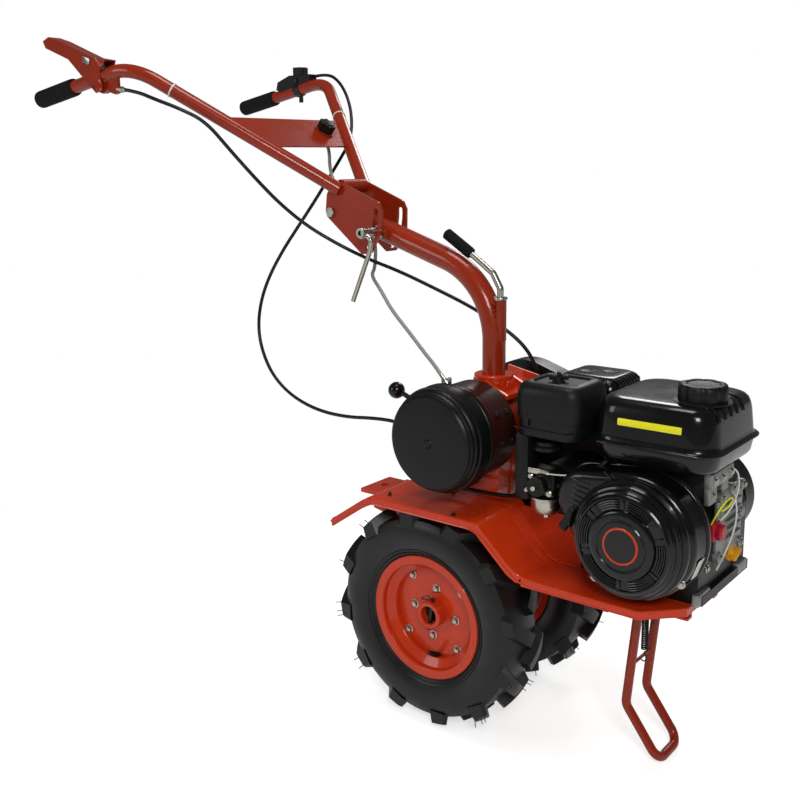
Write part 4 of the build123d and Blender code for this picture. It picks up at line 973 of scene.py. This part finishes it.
# %% Carburettor levers and hose
studs = []
for radius, height, place in ((5, 9, at(204, -128, 298)), (6, 7, at(238, -129, 274)),
                              (4, 16, at(198, -124, 274)), (4.5, 10, at(222, -150, 286))):
    stud = turned([(0, 0), (radius, 0), (radius, height), (radius * 0.7, height + 1.5), (0, height + 1.5)],
                  sides=20)
    studs.append(placed(stud, TO_RIGHT, place))
lever_arm = placed(plate([(-4, -4), (34, -3), (38, 0), (34, 5), (-4, 5)], 2.2), TO_RIGHT, at(204, -136, 308))
link = wire([at(236, -138, 308), at(262, -138, 310), at(300, -134, 318), at(330, -128, 326)], 1.5)
finish(joined(*studs, lever_arm, link), "carburettor_levers", zinc)
hose = wire([at(330, -96, 345), at(318, -112, 330), at(292, -122, 300), at(262, -124, 292),
             at(240, -118, 282)], 4.2)
finish(hose, "fuel_hose", black_sheath)

# %% [markdown]
# The engine's end is closed by a cast side cover with a boss for each screw and cooling ribs across it.
# Cast feet stand below it, and a cast bracket above it carries the tank.

# %% Side cover and tank bracket
CORNERS = ((-30, 288), (58, 288), (58, 190), (-30, 190), (14, 292))

casting = [placed(plate(round_rect(104, 112, 24, 6), 7, 1.5), TO_FRONT, at(477, 14, 238))]
for y, z in (*CORNERS, (62, 240)):
    boss = turned([(0, 0), (9, 0), (9, 10), (7.6, 11), (0, 11)], sides=24)
    casting.append(placed(boss, TO_FRONT, at(477, y, z)))
for z in range(214, 271, 14):
    casting.append(placed(block((60, 3.4, 6), 1.2), TO_FRONT, at(483, 22, z)))
casting.append(placed(block((12, 46, 20), 2.5), TO_TOP, at(479, -80, 131)))
casting.append(placed(block((14, 40, 20), 2.5), TO_TOP, at(480, 74, 131)))
finish(joined(*casting), "cast_side_cover", cast_alloy)
seats = [(TO_FRONT, at(487.5, y, z)) for y, z in CORNERS]
finish(copies(hex_screw(8, 5), seats), "side_cover_screws", zinc)
bracket = joined(placed(block((14, 86, 24), 2), TO_TOP, at(484, -42, 316)),
                 placed(block((10, 30, 34), 2), TO_TOP, at(481, -66, 288)),
                 placed(block((12, 22, 18), 2), TO_TOP, at(482, -22, 300)))
finish(bracket, "tank_bracket", cast_alloy)
places = ((491, -76, 328), (491, -44, 326), (491, -10, 328), (486, -68, 302), (478, 40, 200), (478, -60, 180))
seats = [(TO_FRONT, at(*place)) for place in places]
finish(copies(hex_screw(8, 6.5), seats), "front_screws", zinc)

# %% [markdown]
# Here are also the parts that a mechanic reaches for first: the red stop switch with its loose wires,
# and the yellow handle of the dipstick.

# %% Stop switch, dipstick and wires
button = turned([(0, 0), (12, 0), (13, 2), (13, 9), (10, 12), (0, 12)], sides=28)
switch = joined(placed(block((30, 30, 10), 4), TO_FRONT, at(478, -45, 238)),
                placed(button, TO_FRONT, at(486, -45, 238)))
finish(switch, "stop_switch_cap", red_plastic, "chassis", ("stop_switch",))
stopper = turned([(0, 0), (13, 0), (13, 6), (8, 8), (7, 12), (0, 12)], sides=28)
wing_turn = TO_FRONT @ Matrix.Rotation(math.radians(25), 4, "Z")
handle = joined(placed(stopper, TO_FRONT, at(478, 25, 180)),
                placed(block((30, 7, 12), 3), wing_turn, at(486, 25, 180)))
finish(handle, "dipstick_handle", yellow_plastic, "chassis", ("oil_dipstick",))
WIRES = {
    "yellow_wire": (yellow_film, ((481, -58, 252), (492, -72, 270), (500, -62, 290), (502, -34, 294),
                                  (498, -14, 284), (492, -18, 270), (488, -36, 268))),
    "white_wire": (white_film, ((481, -32, 246), (494, -16, 262), (498, 8, 292), (494, 16, 318),
                                (486, 6, 330), (482, -8, 326))),
    "lower_wire": (white_film, ((482, 18, 300), (492, 24, 262), (490, 20, 222), (486, -4, 190),
                                (482, -30, 168)))}
for name, (film, places) in WIRES.items():
    finish(wire([at(*place) for place in places], 1.5), name, film)

# %% [markdown]
# The column stands in a welded socket. A weld is laid here as it is on the machine, as a bead that
# weaves up and down along the joint, and the socket's edge has a thin rolled lip.

# %% Socket welds
def ring_bead(x, y, z, radius, bead, weave=0.5, ripples=40):
    """A weld bead round an upright tube, woven up and down."""
    places = []
    for k in range(ripples + 1):
        a = 2 * math.pi * k / ripples
        r = radius + (0.5 if k % 2 else 0)
        places.append(at(x + r * math.cos(a), y + r * math.sin(a), z + (weave if k % 2 else -weave)))
    return wire(places, bead, smooth=False)

finish(ring_bead(41, 0, 412, 35.0, 1.8, 5), "socket_weld", red_sheet)
finish(ring_bead(34, 0, 391.4, 40, 0.6), "socket_seam", red_sheet)
collar = turned([(21.6, 425.4), (30, 426.6), (34, 426.6), (35.6, 425), (35.8, 422), (35.2, 420)], sides=56)
finish(placed(collar, TO_TOP, at(41, 0, 0)), "socket_lip", red_sheet)

# %% [markdown]
# The weld between the column and the tube of the lock pin is a woven bead on each side. The lock rod
# comes out of that tube through a plated washer, and its hand grip is a ribbed rubber sleeve, turned
# with a groove every five millimetres.

# %% Lock pin and its grip
side_beads = []
for sign in (-1, 1):
    weave = [at(48 + (2.5 if k % 2 else -2.5), sign * 12.5, 488 + 5 * k) for k in range(15)]
    side_beads.append(wire(weave, 2.6, smooth=False))
# The weld takes the darker tube red: painted shade.
finish(joined(*side_beads), "pin_tube_weld", red_tube_painted_shade, "column")
washer = turned([(6.3, 561), (12.4, 561), (13, 562), (13, 565), (12.4, 566), (6.3, 566)], sides=32)
finish(placed(washer, TO_TOP, at(54, 0, 0)), "pin_tube_washer", zinc, "column")
ribbed = [(0, -2), (8, -2), (10.4, 0)]
for low in range(0, 60, 5):
    ribbed += [(10.6, 2 + low), (10.6, 4.4 + low), (9.6, 5 + low), (9.6, 6.4 + low)]
ribbed += [(10.2, 63), (8, 65), (6.2, 65)]
finish(placed(turned(ribbed, sides=40), facing((68, 0, -43)), at(-63, 0, 674)), "ribbed_lock_grip", grip_foam,
       "column", ("lock_grip",))

# %% [markdown]
# At the top, the handlebar ends in foam grips with rolled ends and fine grooves, turned like the lock
# pin's grip. Pale cable ties hold the sheaths to the tubes.

# %% Foam grips and cable ties
FOOT, BEND, END = Vector((-299, 44, 758)), Vector((-602, 269, 985)), Vector((-886, 280, 934))

def on_side(place, sign):
    """A place of the left handle, or its mirror image on the right one."""
    return at(place.x, sign * place.y, place.z)

for side, sign, _ in SIDES:
    tip = on_side(END, sign)
    along = (on_side(BEND, sign) - tip).normalized()
    profile = [(0, -4), (11, -4), (15, -3.4), (17, -1), (17.4, 3)]
    for k in range(12):
        low = 8.6 * k
        profile += [(17.4, 6 + low), (17.4, 11.4 + low), (16.6, 12.2 + low), (16.6, 13.8 + low)]
    profile += [(17.2, 111), (16.4, 114), (13.2, 114.4)]
    finish(placed(turned(profile, sides=48), facing(along), tip), f"foam_grip_{side}", grip_foam, "handlebar",
           (f"grip_{side}",), 50)
ties = []
for sign, share in ((-1, 0.80), (1, 0.62)):
    low, high = on_side(FOOT, sign), on_side(BEND, sign)
    band = turned([(13.2, -1.6), (14.2, -1.6), (14.4, 0), (14.2, 1.6), (13.2, 1.6)], sides=32)
    ties.append(placed(band, facing(high - low), low.lerp(high, share)))
finish(joined(*ties), "cable_ties", white_film, "handlebar")

# %% [markdown]
# The clutch lever is a channel of folded sheet. Its solid has the right side view and is a little wide,
# so a merged copy of its mesh is narrowed about the handle's middle, and takes the solid's place. The
# cable's end and a blank tag are added to it.

# %% Clutch lever
LEVER_WIDTH = 0.68

channel = bpy.data.objects.new("channel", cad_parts["clutch_lever"].data.copy())
bpy.context.collection.objects.link(channel)
alone(channel)
bpy.ops.object.mode_set(mode="EDIT")
bpy.ops.mesh.select_all(action="SELECT")
bpy.ops.mesh.remove_doubles(threshold=0.00001)
bpy.ops.transform.resize(value=(1, LEVER_WIDTH, 1), center_override=at(0, -273, 0))
bpy.ops.object.mode_set(mode="OBJECT")
# The lever takes the darker tube red: painted shade.
finish(channel, "clutch_lever_channel", red_tube_painted_shade, "handlebar", ("clutch_lever",), 30)
barrel = placed(turned([(0, 0), (4.6, 0), (4.6, 8), (6, 8.5), (6, 13), (4, 14), (4, 22), (0, 22)], sides=20),
                facing((47, 3, -6)), at(-640, -273, 944))
inner = wire([at(-640, -273, 945), at(-662, -273, 958), at(-684, -273, 962)], 1.0)
finish(joined(barrel, inner), "clutch_cable_end", zinc, "handlebar")
tilt = Matrix.Rotation(math.radians(20), 4, "Y") @ TO_RIGHT
tag = placed(plate(round_rect(24, 12, 2, 3), 0.8, 0.2), tilt, at(-716, -288.2, 1001))
finish(tag, "blank_lever_tag", zinc, "handlebar")

# %% [markdown]
# On the left handle a steel band clamps the throttle control. The knob on the cross plate has six
# finger hollows, cut from the same kind of outline as the fuel cap, and the clamp screw ends in an eye.

# %% Throttle clamp, plate knob and clamp screw
band = turned([(13.1, -9), (15.4, -9), (16, -8), (16, 8), (15.4, 9), (13.1, 9)], sides=36)
band = placed(band, facing(on_side(BEND, 1) - on_side(END, 1)), at(-690, 272.4, 969.2))
screw = placed(turned([(0, 0), (5, 0), (5, 4), (3, 5), (0, 5)], sides=20), TO_RIGHT, at(-690, 262, 990))
finish(joined(band, screw), "throttle_clamp", dark_steel, "handlebar")
knob = moulded(lobed(15.5, 2.6, 6, 2, 72), [
    (4, -1), (2, 0), (0.6, 1), (0, 4), (0, 13), (1.2, 15.6), (4, 17.4), (8, 18), (15, 18.2)])
finish(placed(knob, facing((0.6, 0, 0.8)), at(-436, 83, 870)), "lobed_plate_knob", moulded_black, "handlebar")
eye = turned([(4.6, 0), (9.4, 0), (10.6, 2), (10.6, 7), (9.4, 9), (4.6, 9)], sides=36)
finish(placed(eye, TO_RIGHT, at(-205.4, -70, 674.1)), "clamp_screw_eye", zinc, "column")

# %% [markdown]
# The parking stand is sprung: a black coil pulls on its cross rod from a wire hook. The coil is a
# helix of real turns.

# %% Stand spring
COIL_X, COIL_Y, COIL_FOOT, COIL_LENGTH, COIL_RADIUS = 346.6, 12, -25, 74, 5.2
COIL_TURNS, PER_TURN = 22, 12

turns = []
for k in range(COIL_TURNS * PER_TURN + 1):
    a = 2 * math.pi * k / PER_TURN
    rise = COIL_LENGTH * k / (COIL_TURNS * PER_TURN)
    turns.append(at(COIL_X + COIL_RADIUS * math.cos(a), COIL_Y + COIL_RADIUS * math.sin(a), COIL_FOOT + rise))
hook_low = [at(339, 12, -40), at(341, 12, -46), at(347, 12, -47), at(351, 12, -42), at(348, 12, -34),
            at(347, 12, -28)]
hook_high = [at(347, 12, 52), at(347, 12, 70), at(350, 12, 78), at(347, 12, 81)]
spring = joined(wire(turns, 1.35), wire(hook_low, 1.2), wire(hook_high, 1.2))
alone(spring)
spring.name = "coil_spring"
bpy.ops.object.shade_smooth()
spring.data.materials.clear()
spring.data.materials.append(dark_steel)
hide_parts("stand_spring")
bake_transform(spring)
print("coil of", COIL_TURNS, "turns")
seats = [(TO_RIGHT, at(352, -40.5, 66)), (TO_LEFT, at(352, 64.5, 66))]
finish(copies(hex_screw(11, 9), seats), "stand_pivot_nuts", zinc)

# %% [markdown]
# The belt guard on the far side is a flat steel cover. A raised panel and two round bosses over the
# pulleys keep it from drumming, and small screws hold its edge. The shift lever ends in a plain ball.

# %% Belt guard and shift ball
PULLEY_X, PULLEY_Z = 20, 350
GUARD_FACE = 165

panel = moulded(belt_outline(-CRANK_X, CRANK_Z, 58, -PULLEY_X, PULLEY_Z, 58), [
    (0, -1), (0, 0), (0.8, 1.8), (3, 2.8), (7, 3), (40, 3), (58, 3.0)])
bosses = []
for x, z in ((CRANK_X, CRANK_Z), (PULLEY_X, PULLEY_Z)):
    boss = turned([(0, 2), (36, 2), (35, 5), (32, 6.4), (12, 6.6), (10, 5), (0, 5)], sides=56)
    bosses.append(placed(boss, TO_LEFT, at(x, GUARD_FACE, z)))
panel = placed(panel, TO_LEFT, at(0, GUARD_FACE, 0))
finish(joined(panel, *bosses), "belt_guard_panel", black_gloss)
places = ((392, 167), (458, 226), (400, 304), (20, 419), (-49, 352), (12, 282), (206, 366), (190, 220))
seats = [(TO_LEFT, at(x, GUARD_FACE, z)) for x, z in places]
finish(copies(hex_screw(8, 6), seats), "belt_guard_screws", zinc)
ball = turned([(0, -17), (6, -15.9), (12, -12), (15.8, -6.3), (17, 0), (15.8, 6.3), (12, 12), (6, 15.9),
               (0, 17)], sides=32)
finish(placed(ball, TO_TOP, at(-206, 24, 357)), "shift_ball", black_gloss)
